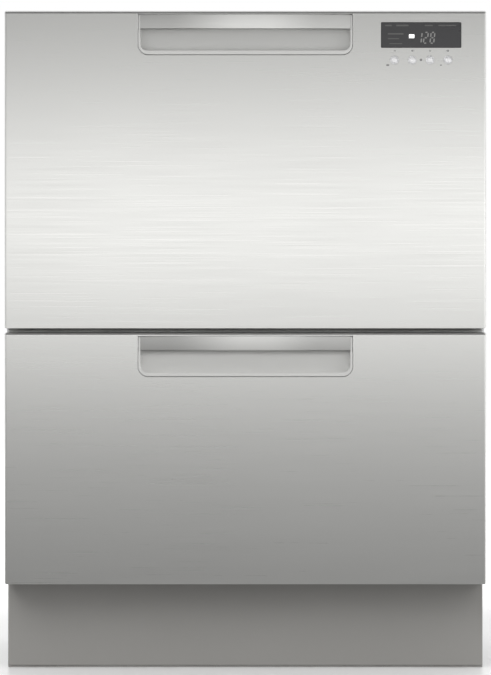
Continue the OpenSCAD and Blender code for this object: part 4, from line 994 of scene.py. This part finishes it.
def tub(drawer):
    """Moulded tub: round corners, rim, sump hole, posts, ribs and the brackets to its front."""
    low, high = tub_box(drawer)
    sump = 90
    floor = low.z + TUB_WALL
    middle = (low.y + high.y) / 2

    def bottom_at(z):
        return lambda edge: all(v.co.z < z + 0.01 for v in edge.verts) and edge.calc_face_angle(0) > 0.5

    body = soften(rounded_block(low, high, TUB_CORNER), 9, 4, bottom_at(low.z))
    body = carved(body, tub_plan(drawer, TUB_RIM, high.z - TUB_RIM, high.z), operation="UNION")
    ribs = [block((x - 1.5, high.y - 1, low.z + 24), (x + 1.5, high.y + 3, high.z - 2))
            for x in (95 * k for k in range(-2, 3))]
    body = carved(body, *ribs, operation="UNION")
    body = carved(body, soften(tub_plan(drawer, -TUB_WALL, floor, high.z + 5), 8, 4, bottom_at(floor)))
    body = carved(body, rod((0, middle, low.z - 5), (0, middle, floor + 5), sump, 96))
    case_low, case_high = dispenser_body(drawer)
    hole = rounded_block((case_low.x, low.y - 3, case_low.z), (case_high.x, low.y + 6, case_high.z), 4, Y, 3)
    body = carved(body, hole)
    basket_low, basket_high = cad(f"{drawer}_basket")
    inset, foot_z = 8, basket_low.z
    post = [(0, floor - 1), (9, floor - 1), (8, floor + 4), (6.8, foot_z - 1), (6.0, foot_z), (0, foot_z)]
    posts = [turned(post, (x, y, 0), Z, 24) for x in (basket_low.x + inset, basket_high.x - inset)
             for y in (basket_low.y + inset, basket_high.y - inset)]
    horns = []
    front = cad(f"{drawer}_tub")[0].y
    for x in (-226, 226):
        horn = rounded_block((x - 12, front, floor), (x + 12, low.y + 0.5, high.z - 74), 4, Z, 3)
        core = rounded_block((x - 8, front + 4.5, floor + 8), (x + 8, low.y - 4, high.z - 60), 2, Z, 2)
        horns.append(carved(horn, core))
    drawer_piece(drawer, "tub_shell", joined(body, *posts, *horns), "drawer", "tub", "tub", edge=0.8)


def lid(drawer):
    """Lid with pockets between its ribs, and the lugs and rods that pull it down."""
    low, high = cad(f"{drawer}_lid")
    thick, rib, inset, across, deep = 9.0, 3.0, 20, 7, 6
    z0 = high.z - thick
    tub_low, tub_high = tub_box(drawer)
    x0, y0, x1, y1 = tub_low.x - TUB_RIM, tub_low.y - TUB_RIM, tub_high.x + TUB_RIM, tub_high.y + TUB_RIM
    body = tub_plan(drawer, TUB_RIM, z0, high.z)
    body = soften(body, 1.2, 3, lambda e: abs(e.verts[0].co.z - e.verts[1].co.z) < 0.01)
    cell_x = (2 * (x1 - inset) + rib) / across
    cell_y = (y1 - y0 - 2 * inset + rib) / deep
    cells = []
    for i in range(across):
        for j in range(deep):
            x, y = x0 + inset + i * cell_x, y0 + inset + j * cell_y
            far = (x + cell_x - rib, y + cell_y - rib, high.z - rib)
            cells.append(rounded_block((x, y, z0 - 5), far, 5, Z, 2))
    body = carved(body, *cells)
    panels = [rounded_block((x0 + 30, y, high.z - 0.8), (x1 - 30, y + 100, high.z + 2), 16, Z, 4)
              for y in (-200, -60, 80)]
    body = carved(body, *panels)
    middle, rod_x = (y0 + y1) / 2, high.x - 4

    def lug():
        arm = block((x1 - 1, middle - 12, z0 + 3), (high.x, middle + 12, high.z))
        return joined(arm, rod((rod_x, middle, low.z), (rod_x, middle, z0 + 4), 2.5, 20, 0.6))

    drawer_piece(drawer, "lid_cover", joined(body, both_sides(lug)), "lid", "lid", "lid", edge=0.3)


def lid_seal(drawer):
    """Soft seal under the lid: a foot and a hollow lip."""
    low, high = cad(f"{drawer}_lid_seal")
    ring = tub_plan(drawer, TUB_RIM, low.z, high.z)
    ring = carved(ring, tub_plan(drawer, -TUB_WALL, low.z - 5, high.z + 5))
    groove = tub_plan(drawer, TUB_RIM + 9, low.z + 2.8, low.z + 3.8)
    groove = carved(groove, tub_plan(drawer, 2.4, low.z, high.z))
    ring = carved(ring, groove)
    drawer_piece(drawer, "seal", ring, "lid", "seal", "lid_seal", edge=0.9)


# ---------- racks ----------

WIRE, RIM_WIRE, HINGE_ROD = 1.9, 2.0, 3.0
TINE_COLUMNS = [30 * i for i in range(-4, 5)]


def hoop(x0, x1, y0, y1, z, radius):
    """Level ring of wire with round corners."""
    return bent([(x0, y0, z), (x1, y0, z), (x1, y1, z), (x0, y1, z), (x0, y0, z)], radius, 6)


def rack(drawer):
    """Basket of round coated wires with its lines of tines and its bearings."""
    low, high = cad(f"{drawer}_basket")
    across, deep = 12, 9
    x0, x1, y0, y1 = low.x + 2, high.x - 2, low.y + 2, high.y - 2
    z0, top = low.z + 2, high.z - 2
    shelf_low, shelf_high = cad(f"{drawer}_cup_rack")
    mid = shelf_low.z + HINGE_ROD
    paths = []
    for i in range(across + 1):
        x = x0 + (x1 - x0) * i / across
        inner = 0 < i < across
        paths.append(bent([(x, y0, top), (x, y0, z0), (x, y1, z0), (x, y1, top)], 7) if inner else
                     [(x, y0 + 9, z0), (x, y1 - 9, z0)])
    for j in range(deep + 1):
        y = y0 + (y1 - y0) * j / deep
        inner = 0 < j < deep
        paths.append(bent([(x0, y, top), (x0, y, z0), (x1, y, z0), (x1, y, top)], 7) if inner else
                     [(x0 + 9, y, z0), (x1 - 9, y, z0)])
    levels = (z0 + (mid - z0) * 0.42, mid, mid + (top - mid) * 0.5)
    paths += [hoop(x0, x1, y0, y1, z, 14) for z in levels if z < top - 12]
    rim = wires([hoop(x0, x1, y0, y1, top, 16)], RIM_WIRE, 10)
    row_low, row_high = cad(f"{drawer}_folding_tines")
    row_y = centre(f"{drawer}_folding_tines").y
    bearing_x = row_high.x - 3.5
    rail_z = low.z + 6.05
    tine_top = rail_z + 63
    tine_y = [row_y + 76 * k for k in (-2, -1, 1, 2)]
    tines = [tipped([(x, y, rail_z), (x, y, tine_top)], WIRE) for x in TINE_COLUMNS for y in tine_y]
    paths += [[(x, tine_y[0] - 2, rail_z), (x, tine_y[-1] + 2, rail_z)]
              for x in (*TINE_COLUMNS, -bearing_x, bearing_x)]
    clip_top = row_low.z + HINGE_ROD + 6
    clips = [rounded_block((x - 4, row_y - 6, rail_z), (x + 4, row_y + 6, clip_top), 2.5, X, 3)
             for x in (-bearing_x, bearing_x)]
    for y in (shelf_low.y, shelf_high.y - 8):
        clips.append(rounded_block((x0 - 1, y, mid - 6), (x0 + 13, y + 8.0, mid + 6), 3, Y, 3))
    drawer_piece(drawer, "rack", joined(wires(paths, WIRE), wires(tines, WIRE), rim),
                 "drawer", "wire", "basket")
    drawer_piece(drawer, "rack_clips", joined(*clips), "drawer", "cutlery", edge=0.5)


def cup_shelf(drawer):
    """Wire shelf on its hinge rod."""
    low, high = cad(f"{drawer}_cup_rack")
    hinge, z = low.x + HINGE_ROD, low.z + HINGE_ROD
    hinge_bar = rod((hinge, low.y, z), (hinge, high.y, z), HINGE_ROD, 16, 0.8)
    x1, y0, y1 = high.x - 2, low.y + 10.5, high.y - 10.5
    paths = [bent([(hinge, y0, z), (x1, y0, z), (x1, y1, z), (hinge, y1, z)], 12, 6)]
    paths += [[(hinge, y, z), (x1, y, z)] for y in (y0 + (y1 - y0) * k / 8 for k in range(1, 8))]
    paths += [[(x, y0, z), (x, y1, z)] for x in (hinge + (x1 - hinge) * k / 3 for k in (1, 2))]
    drawer_piece(drawer, "cup_shelf", joined(hinge_bar, wires(paths, WIRE)), "cup_rack", "wire", "cup_rack")


def folding_row(drawer):
    """Row of tines on one rod."""
    low, high = cad(f"{drawer}_folding_tines")
    y, z = (low.y + high.y) / 2, low.z + HINGE_ROD
    bar = rod((low.x, y, z), (high.x, y, z), HINGE_ROD, 16, 0.8)
    tines = [tipped([(x, y, z), (x, y, high.z)], WIRE) for x in TINE_COLUMNS]
    drawer_piece(drawer, "folding_row", joined(bar, wires(tines, WIRE)),
                 "folding_tines", "wire", "folding_tines")


def cutlery_box():
    """Slotted basket with a middle wall and a carrying grip."""
    low, high = cad("cutlery_basket")
    wall, grip_rise, pitch = 2.0, 32.0, 9.6
    rim = high.z - grip_rise
    mid = (low.y + high.y) / 2
    body = rounded_block(low, (high.x, high.y, rim), 9, Z, 5)
    hollow = rounded_block(low + Vector((wall, wall, wall)), (high.x - wall, high.y - wall, rim + 5), 7, Z, 5)
    body = carved(body, hollow)
    divider = rounded_block((low.x + 1, mid - 1.5, low.z + 1), (high.x - 1, mid + 1.5, high.z), 9, Y, 5)
    shoulders = [block((x - 20, mid - 5, rim - 0.01), (x + 20, mid + 5, high.z + 5)) for x in (low.x, high.x)]
    divider = carved(divider, *shoulders)
    body = carved(body, divider, operation="UNION")
    rows = [low.z + k * 23 for k in range(1, 5)]
    slots = [block((low.x - 3, y, z - 5), (high.x + 3, y + 6.4, z + 5)) for z in rows
             for y in (half + k * pitch for half in (low.y + 12, mid + 12) for k in range(9))]
    body = carved(body, *slots)
    holes = [block((x, y, z - 5), (x + 7, y + 9, z + 5)) for y in (low.y - 3, high.y - 6)
             for z in rows for x in (low.x + 13 + 10.6 * k for k in range(5))]
    holes += [block((x, y, low.z - 3), (x + 6, y + 6, low.z + 3.5))
              for x in (low.x + 10 + 10 * k for k in range(6))
              for y in (low.y + 12 + 10.2 * j for j in range(20)) if abs(y + 3 - mid) > 6]
    holes.append(rounded_block((low.x + 16, mid - 5, rim + 6), (high.x - 16, mid + 5, high.z - 8), 7.9, Y, 5))
    body = carved(body, *holes)
    piece("cutlery_box", body, "upper_drawer", "cutlery", "cutlery_basket", edge=0.35)


# ---------- wash system ----------


def spray_arm(drawer):
    """Hub with two swept, tapered blades and a row of jets on each."""
    low, high = cad(f"{drawer}_spray_arm")
    tub_low, tub_high = tub_box(drawer)
    middle, reach, z = (tub_low.y + tub_high.y) / 2, high.x, low.z
    bore, sweep, root, tip = 8.3, 14, 22, 13
    hub = turned([(0, 15), (bore, 15), (bore, 0), (24, 0), (28, 3), (28, 15), (24, 18.5), (14, 20), (0, 20)],
                 (0, 0, z), Z, 48)
    jet = [(1.6, 16), (1.6, 19.2), (3.0, 19.2), (4.2, 17.8), (4.2, 16), (1.6, 16)]

    def blade(flip):
        bar = block((8, -root, z + 6), (reach, root, z + 18))
        for v in bar.verts:
            if v.co.x > reach / 2:
                v.co.y = sweep + math.copysign(tip, v.co.y)
        soften(bar, 12, 6, lambda e: along(Z)(e) and e.verts[0].co.x > reach / 2)
        soften(bar, 3.2, 3)
        jets = [turned(jet, (34 + i * (reach - 47) / 6.5, sweep * i / 6, z), Z, 16) for i in range(1, 7)]
        whole = joined(bar, *jets)
        return place(whole, Matrix.Rotation(math.pi, 4, "Z")) if flip else whole

    arm = joined(hub, blade(False), blade(True))
    bmesh.ops.translate(arm, vec=(0, middle, 0), verts=arm.verts)
    drawer_piece(drawer, "arm", arm, "spray_arm", "spray", "spray_arm")


def filter_cup(drawer):
    """Raised ring and rim on the filter plate."""
    low, high = cad(f"{drawer}_filter_plate")
    at = (0, (low.y + high.y) / 2, high.z - 0.4)
    ring = turned([(25, 0), (25, 4), (27, 5), (31, 5), (33, 3.5), (36, 0), (25, 0)], at, Z, 48)
    rim = turned([(108, 0), (109, 2), (112, 2.4), (114.6, 0), (108, 0)], at, Z, 72)
    drawer_piece(drawer, "filter_rings", joined(ring, rim), "drawer", "filter")


def dispenser_body(drawer):
    """Corners of the dispenser's body, which fills the hole in the tub behind the face."""
    low, high = cad(f"{drawer}_dispenser")
    inset = Vector((6, 0, 5))
    return low + inset, high - inset


def dispenser(drawer):
    """Detergent dispenser: face, body with its cup, hinge lugs, latch and rinse-aid cap."""
    low, high = cad(f"{drawer}_dispenser")
    body_low, body_high = dispenser_body(drawer)
    door_low, door_high = cad(f"{drawer}_dispenser_door")
    face, z = high.y - 9, (low.z + high.z) / 2
    hinge_y, hinge_z = door_low.y + 2.6, z - 20
    cap_x, cap_y = high.x - 25, face + 2.4
    front = rounded_block((low.x, face, low.z), (high.x, face + 2.5, high.z), 9, Y, 5)
    body = rounded_block(body_low, (body_high.x, face + 0.5, body_high.z), 4, Y, 3)
    whole = carved(front, body, operation="UNION")
    cup = rounded_block((low.x + 12, low.y + 3, z - 17), (low.x + 80, face + 6, z + 17), 5, Y, 4)
    whole = carved(whole, cup)
    lugs = [carved(rounded_block((x - 2.5, face + 2, hinge_z - 4), (x + 2.5, high.y, hinge_z + 4), 2.5, X, 3),
                   rod((x - 5, hinge_y, hinge_z), (x + 5, hinge_y, hinge_z), 1.6, 16))
            for x in (door_low.x + 2, door_high.x - 2)]
    cap = turned([(0, 0), (13, 0), (13, 2.6), (12, 4), (0, 4)], (cap_x, cap_y, z), Y, 40)
    bar = rounded_block((cap_x - 11, face + 6, z - 2), (cap_x + 11, face + 8.4, z + 2), 1.8, Y, 3)
    ring = turned([(14.2, 0), (14.2, 1.2), (16, 1.2), (16.8, 0), (14.2, 0)], (cap_x, cap_y, z), Y, 40)
    latch = rounded_block((low.x + 88, face + 2.2, z + 4), (low.x + 96, face + 5.6, z + 14), 2, Y, 3)
    drawer_piece(drawer, "dispenser_case", joined(whole, *lugs, cap, bar, ring, latch),
                 "drawer", "lid", "dispenser", edge=0.4)


def dispenser_flap(drawer):
    """Flap over the cup, with its pin and thumb tab."""
    low, high = cad(f"{drawer}_dispenser_door")
    middle, z, front = (low.x + high.x) / 2, low.z + 1.5, low.y + 3
    hinge_y = low.y + 2.6
    flap = rounded_block((middle - 37, low.y, z), (middle + 37, front, z + 40), 4, Y, 4)
    tab = rounded_block((middle - 10, front - 0.2, z + 31), (middle + 10, front + 1.2, z + 37), 2.5, Y, 3)
    pin = rod((low.x, hinge_y, z), (high.x, hinge_y, z), 1.5, 20, 0.3)
    drawer_piece(drawer, "flap", joined(flap, tab, pin), "dispenser_door", "lid", "dispenser_door", edge=0.4)


# ---------- stage ----------

# Brightest that the wall can be, the height in metres that its tones cover, and its height and
# brightness from the floor up
WALL_PEAK, WALL_SPAN = 4.0, 3.0
WALL_TONES = ((0.0, 0.15), (0.12, 0.45), (0.3, 0.25), (0.45, 1.05), (0.6, 2.25), (0.72, 1.15), (0.85, 0.5),
              (1.1, 0.25), (1.6, 0.2), (3.0, 0.2))
LAMP_AIM, LAMP_SIZE = (0, 0, 0.4), 2.2


def front_card(tree):
    """Brightness of the wall in front of the machine, from the floor up and across."""
    at = add(tree, "SeparateXYZ", Vector=at_object(tree)).outputs
    share = add(tree, "MapRange", Value=at[2], From_Min=0.0, From_Max=WALL_SPAN).outputs["Result"]
    ramp = add(tree, "ValToRGB", Fac=share)
    ramp.color_ramp.interpolation = "B_SPLINE"
    while len(ramp.color_ramp.elements) < len(WALL_TONES):
        ramp.color_ramp.elements.new(0.5)
    for element, (z, tone) in zip(ramp.color_ramp.elements, WALL_TONES):
        element.position = z / WALL_SPAN
        tone /= WALL_PEAK
        element.color = (tone, tone, tone * 0.985, 1)
    left = eased(tree, at[0], -0.95, -0.5, 0.55 * WALL_PEAK, WALL_PEAK)
    right = eased(tree, at[0], 0.5, 0.95, 1.0, 1.35)
    return ramp.outputs[0], maths(tree, "MULTIPLY", left, right)


def shown(tree):
    """1 for camera, glossy and transmission rays, which see the white studio."""
    rays = add(tree, "LightPath").outputs
    total = rays["Is Camera Ray"]
    for name in ("Is Glossy Ray", "Is Transmission Ray"):
        total = maths(tree, "MAXIMUM", total, rays[name])
    return total


def empty_tree(owner):
    """Node tree of a world or material, with its nodes cleared."""
    owner.use_nodes = True
    owner.node_tree.nodes.clear()
    return owner.node_tree


def stage_shape(name, bm, material):
    """Object of the stage from a shape in millimetres."""
    bmesh.ops.scale(bm, vec=(MM, MM, MM), verts=bm.verts)
    mesh = mesh_of(name, bm)
    mesh.materials.append(material)
    return linked(name, mesh)


def stage_world():
    """Even pale light, and a white studio for the rays that see it."""
    world = bpy.data.worlds.new("studio")
    bpy.context.scene.world = world
    tree = empty_tree(world)
    mix = add(tree, "MixShader", Fac=shown(tree))
    for socket, strength in zip(mix.inputs[1:], (0.61, 1.0)):
        feed(tree, socket, add(tree, "Background", Color=(1, 1, 1, 1), Strength=strength).outputs[0])
    add(tree, "OutputWorld", Surface=mix.outputs[0])


def stage_floor():
    """Pale floor that fades into the white studio."""
    material, tree, shader = start("studio floor", (0.8, 0.8, 0.8), Roughness=0.32, Specular_IOR_Level=0.22,
                                   Base_Color=(0.8, 0.8, 0.8, 1))
    away = add(tree, "VectorMath", operation="LENGTH", Vector=at_object(tree)).outputs["Value"]
    white = eased(tree, away, 0.6, 2.4, 0.06, 1.0)
    glow = add(tree, "Emission", Strength=maths(tree, "MULTIPLY", shown(tree), white))
    total = add(tree, "AddShader")
    feed(tree, total.inputs[0], shader.outputs[0])
    feed(tree, total.inputs[1], glow.outputs[0])
    feed(tree, tree.nodes["Material Output"].inputs[0], total.outputs[0])
    half, thick = 9000, 8
    floor = stage_shape("studio_floor", block((-half, -half, -thick), (half, half, 0)), material)


def stage_card():
    """Wall in front of the machine, seen only in its metal."""
    material = bpy.data.materials.new("studio wall")
    tree = empty_tree(material)
    tone, strength = front_card(tree)
    glow = add(tree, "Emission", Color=tone, Strength=strength)
    add(tree, "OutputMaterial", Surface=glow.outputs[0])
    half, away, tall = 2600, 1500, 8000
    upright = block((-half, -away - 5, 0), (half, -away, tall))
    level = block((-half, -away, 1), (half, -360, 2))
    wall = stage_shape("studio_wall", joined(upright, level), material)
    wall.visible_camera = wall.visible_diffuse = wall.visible_shadow = wall.visible_transmission = False


def lamp(name, at, watts):
    """Soft square lamp aimed at the machine, unseen in reflections."""
    light = bpy.data.lights.new(name, "AREA")
    light.shape, light.size, light.energy = "SQUARE", LAMP_SIZE, watts
    thing = linked(name, light)
    thing.location = at
    thing.rotation_euler = (Vector(LAMP_AIM) - Vector(at)).to_track_quat("-Z", "Y").to_euler()
    thing.visible_glossy = False


def stage_camera():
    """Camera straight in front of the machine, as in the photo."""
    data = bpy.data.cameras.new("camera")
    camera = linked("camera", data)
    distance, height, seen = 5.0, 0.4136, 0.8388
    camera.location = (0.0002, CAD_BOX[0][1] - distance, height)
    camera.rotation_euler = (math.radians(90), 0, 0)
    data.sensor_width = 36
    data.lens = data.sensor_width * distance / seen
    data.clip_end = 100
    bpy.context.scene.camera = camera


# ---------- settings, operators and panel ----------


def length_property(name, description, default):
    """Property for a length in metres."""
    return FloatProperty(name=name, description=description, default=default, min=0, subtype="DISTANCE",
                         unit="LENGTH")


def colour_property(name, description, default):
    """Property for a colour."""
    return FloatVectorProperty(name=name, description=description, default=default, size=3, min=0, max=1,
                               subtype="COLOR")


def for_drawers(*builders):
    """Runs the builders for each drawer in turn."""
    for drawer in DRAWERS:
        for build in builders:
            build(drawer)
    return {"FINISHED"}


class WasherSizes(bpy.types.PropertyGroup):
    """Sizes that a user would change"""

    sheet: length_property("Sheet", "Thickness of the steel sheet", 0.0012)
    fold_radius: length_property("Fold", "Radius of the fronts' top fold", 0.004)
    window_width: length_property("Window width", "Width of the handle's window", 0.267)
    window_height: length_property("Window height", "Height of the handle's window", 0.050)
    window_strip: length_property("Window strip", "Sheet left above the handle's window", 0.005)
    window_corner: length_property("Window corner", "Radius of the window's lower corners", 0.0125)


class WasherColours(bpy.types.PropertyGroup):
    """Colours that a user would change"""

    steel: colour_property("Steel", "Brushed steel of the fronts", RECORD_COLOURS["stainless"])
    grip: colour_property("Grip", "Steel of the grip bars", (0.92, 0.92, 0.91))
    recess: colour_property("Pocket", "Silver moulding of the finger pockets", (0.71, 0.71, 0.7))
    toe: colour_property("Toe plate", "Satin grey of the toe plate", (0.268, 0.262, 0.25))
    window: colour_property("Window", "Smoked display window", (0.03, 0.03, 0.032))
    dim_figures: colour_property("Dim figures", "Unlit figures of the display", (0.21, 0.21, 0.205))
    faint_bars: colour_property("Faint bars", "Unlit bars of the display", (0.085, 0.085, 0.083))
    tub: colour_property("Tub", "Light grey moulding of the tubs", RECORD_COLOURS["tub"])
    wire: colour_property("Wire", "Nylon coat of the racks", RECORD_COLOURS["wire"])


class WASHER_OT_stage(bpy.types.Operator):
    """Floor, wall, world, lamps and camera"""

    bl_idname = "washer.stage"
    bl_label = "Stage"

    def execute(self, context):
        context.scene.view_settings.view_transform = "Standard"
        stage_world()
        stage_floor()
        stage_card()
        lamp("key_lamp", (-1.6, -2.4, 2.6), 60)
        lamp("fill_lamp", (2.2, -1.6, 1.8), 26)
        lamp("back_lamp", (0.5, 2.8, 2.4), 40)
        stage_camera()
        return {"FINISHED"}


class WASHER_OT_fronts(bpy.types.Operator):
    """Folded steel sheets of the two fronts"""

    bl_idname = "washer.fronts"
    bl_label = "Fronts"

    def execute(self, context):
        return for_drawers(front_sheet)


class WASHER_OT_handles(bpy.types.Operator):
    """Finger pockets and grip bars"""

    bl_idname = "washer.handles"
    bl_label = "Handles"

    def execute(self, context):
        return for_drawers(handle_pocket, grip)


class WASHER_OT_controls(bpy.types.Operator):
    """Display, keys and printed marks"""

    bl_idname = "washer.controls"
    bl_label = "Controls"

    def execute(self, context):
        display()
        buttons()
        control_housing()
        return {"FINISHED"}


class WASHER_OT_cabinet(bpy.types.Operator):
    """Side sheets, toe plate, feet and screws"""

    bl_idname = "washer.cabinet"
    bl_label = "Cabinet"

    def execute(self, context):
        side_sheet("left")
        side_sheet("right")
        toe_cover()
        soft_strips()
        for corner in ("front_left", "front_right", "rear_left", "rear_right"):
            foot(corner)
        screws()
        return {"FINISHED"}


class WASHER_OT_services(bpy.types.Operator):
    """Service connections and the ribbed hoses with their clamps"""

    bl_idname = "washer.services"
    bl_label = "Services"

    def execute(self, context):
        fittings()
        return for_drawers(hose)


class WASHER_OT_tubs(bpy.types.Operator):
    """Moulded tubs"""

    bl_idname = "washer.tubs"
    bl_label = "Tubs"

    def execute(self, context):
        return for_drawers(tub)


class WASHER_OT_lids(bpy.types.Operator):
    """Drop-down lids and their seals"""

    bl_idname = "washer.lids"
    bl_label = "Lids"

    def execute(self, context):
        return for_drawers(lid, lid_seal)


class WASHER_OT_racks(bpy.types.Operator):
    """Wire baskets, cup shelves and folding tines"""

    bl_idname = "washer.racks"
    bl_label = "Racks"

    def execute(self, context):
        return for_drawers(rack, cup_shelf, folding_row)


class WASHER_OT_cutlery(bpy.types.Operator):
    """Slotted cutlery basket"""

    bl_idname = "washer.cutlery"
    bl_label = "Cutlery basket"

    def execute(self, context):
        cutlery_box()
        return {"FINISHED"}


class WASHER_OT_spray(bpy.types.Operator):
    """Spray arms and the rings of the filter plates"""

    bl_idname = "washer.spray"
    bl_label = "Wash system"

    def execute(self, context):
        return for_drawers(spray_arm, filter_cup)


class WASHER_OT_dispensers(bpy.types.Operator):
    """Detergent dispensers and their flaps"""

    bl_idname = "washer.dispensers"
    bl_label = "Dispensers"

    def execute(self, context):
        return for_drawers(dispenser, dispenser_flap)


class WASHER_OT_frame_parts(bpy.types.Operator):
    """Finishes of the CAD nodes that stay"""

    bl_idname = "washer.frame_parts"
    bl_label = "Frame parts"

    def execute(self, context):
        for node, thing in frame["nodes"].items():
            if not thing.hide_render:
                dress(node)
        return {"FINISHED"}


class WASHER_PT_panel(bpy.types.Panel):
    """Lists the makers"""

    bl_idname = "WASHER_PT_panel"
    bl_label = "Double dishwasher drawer"
    bl_space_type = "VIEW_3D"
    bl_region_type = "UI"
    bl_category = "Washer"

    def draw(self, context):
        for group in (context.scene.washer_sizes, context.scene.washer_colours):
            for key in group.__annotations__:
                self.layout.prop(group, key)
        for maker in MAKERS:
            self.layout.operator(maker.bl_idname)


MAKERS = (WASHER_OT_stage, WASHER_OT_fronts, WASHER_OT_handles, WASHER_OT_controls, WASHER_OT_cabinet,
          WASHER_OT_services, WASHER_OT_tubs, WASHER_OT_lids, WASHER_OT_racks, WASHER_OT_cutlery,
          WASHER_OT_spray, WASHER_OT_dispensers, WASHER_OT_frame_parts)
CLASSES = (WasherSizes, WasherColours, *MAKERS, WASHER_PT_panel)


def register():
    """Registers the classes and their settings."""
    for cls in CLASSES:
        bpy.utils.register_class(cls)
    bpy.types.Scene.washer_sizes = PointerProperty(type=WasherSizes)
    bpy.types.Scene.washer_colours = PointerProperty(type=WasherColours)


def unregister():
    """Takes the settings and the classes away again."""
    del bpy.types.Scene.washer_colours
    del bpy.types.Scene.washer_sizes
    for cls in reversed(CLASSES):
        bpy.utils.unregister_class(cls)


def main():
    """Builds everything."""
    register()
    for maker in MAKERS:
        group, name = maker.bl_idname.split(".")
        getattr(getattr(bpy.ops, group), name)()


if __name__ == "__main__":
    main()
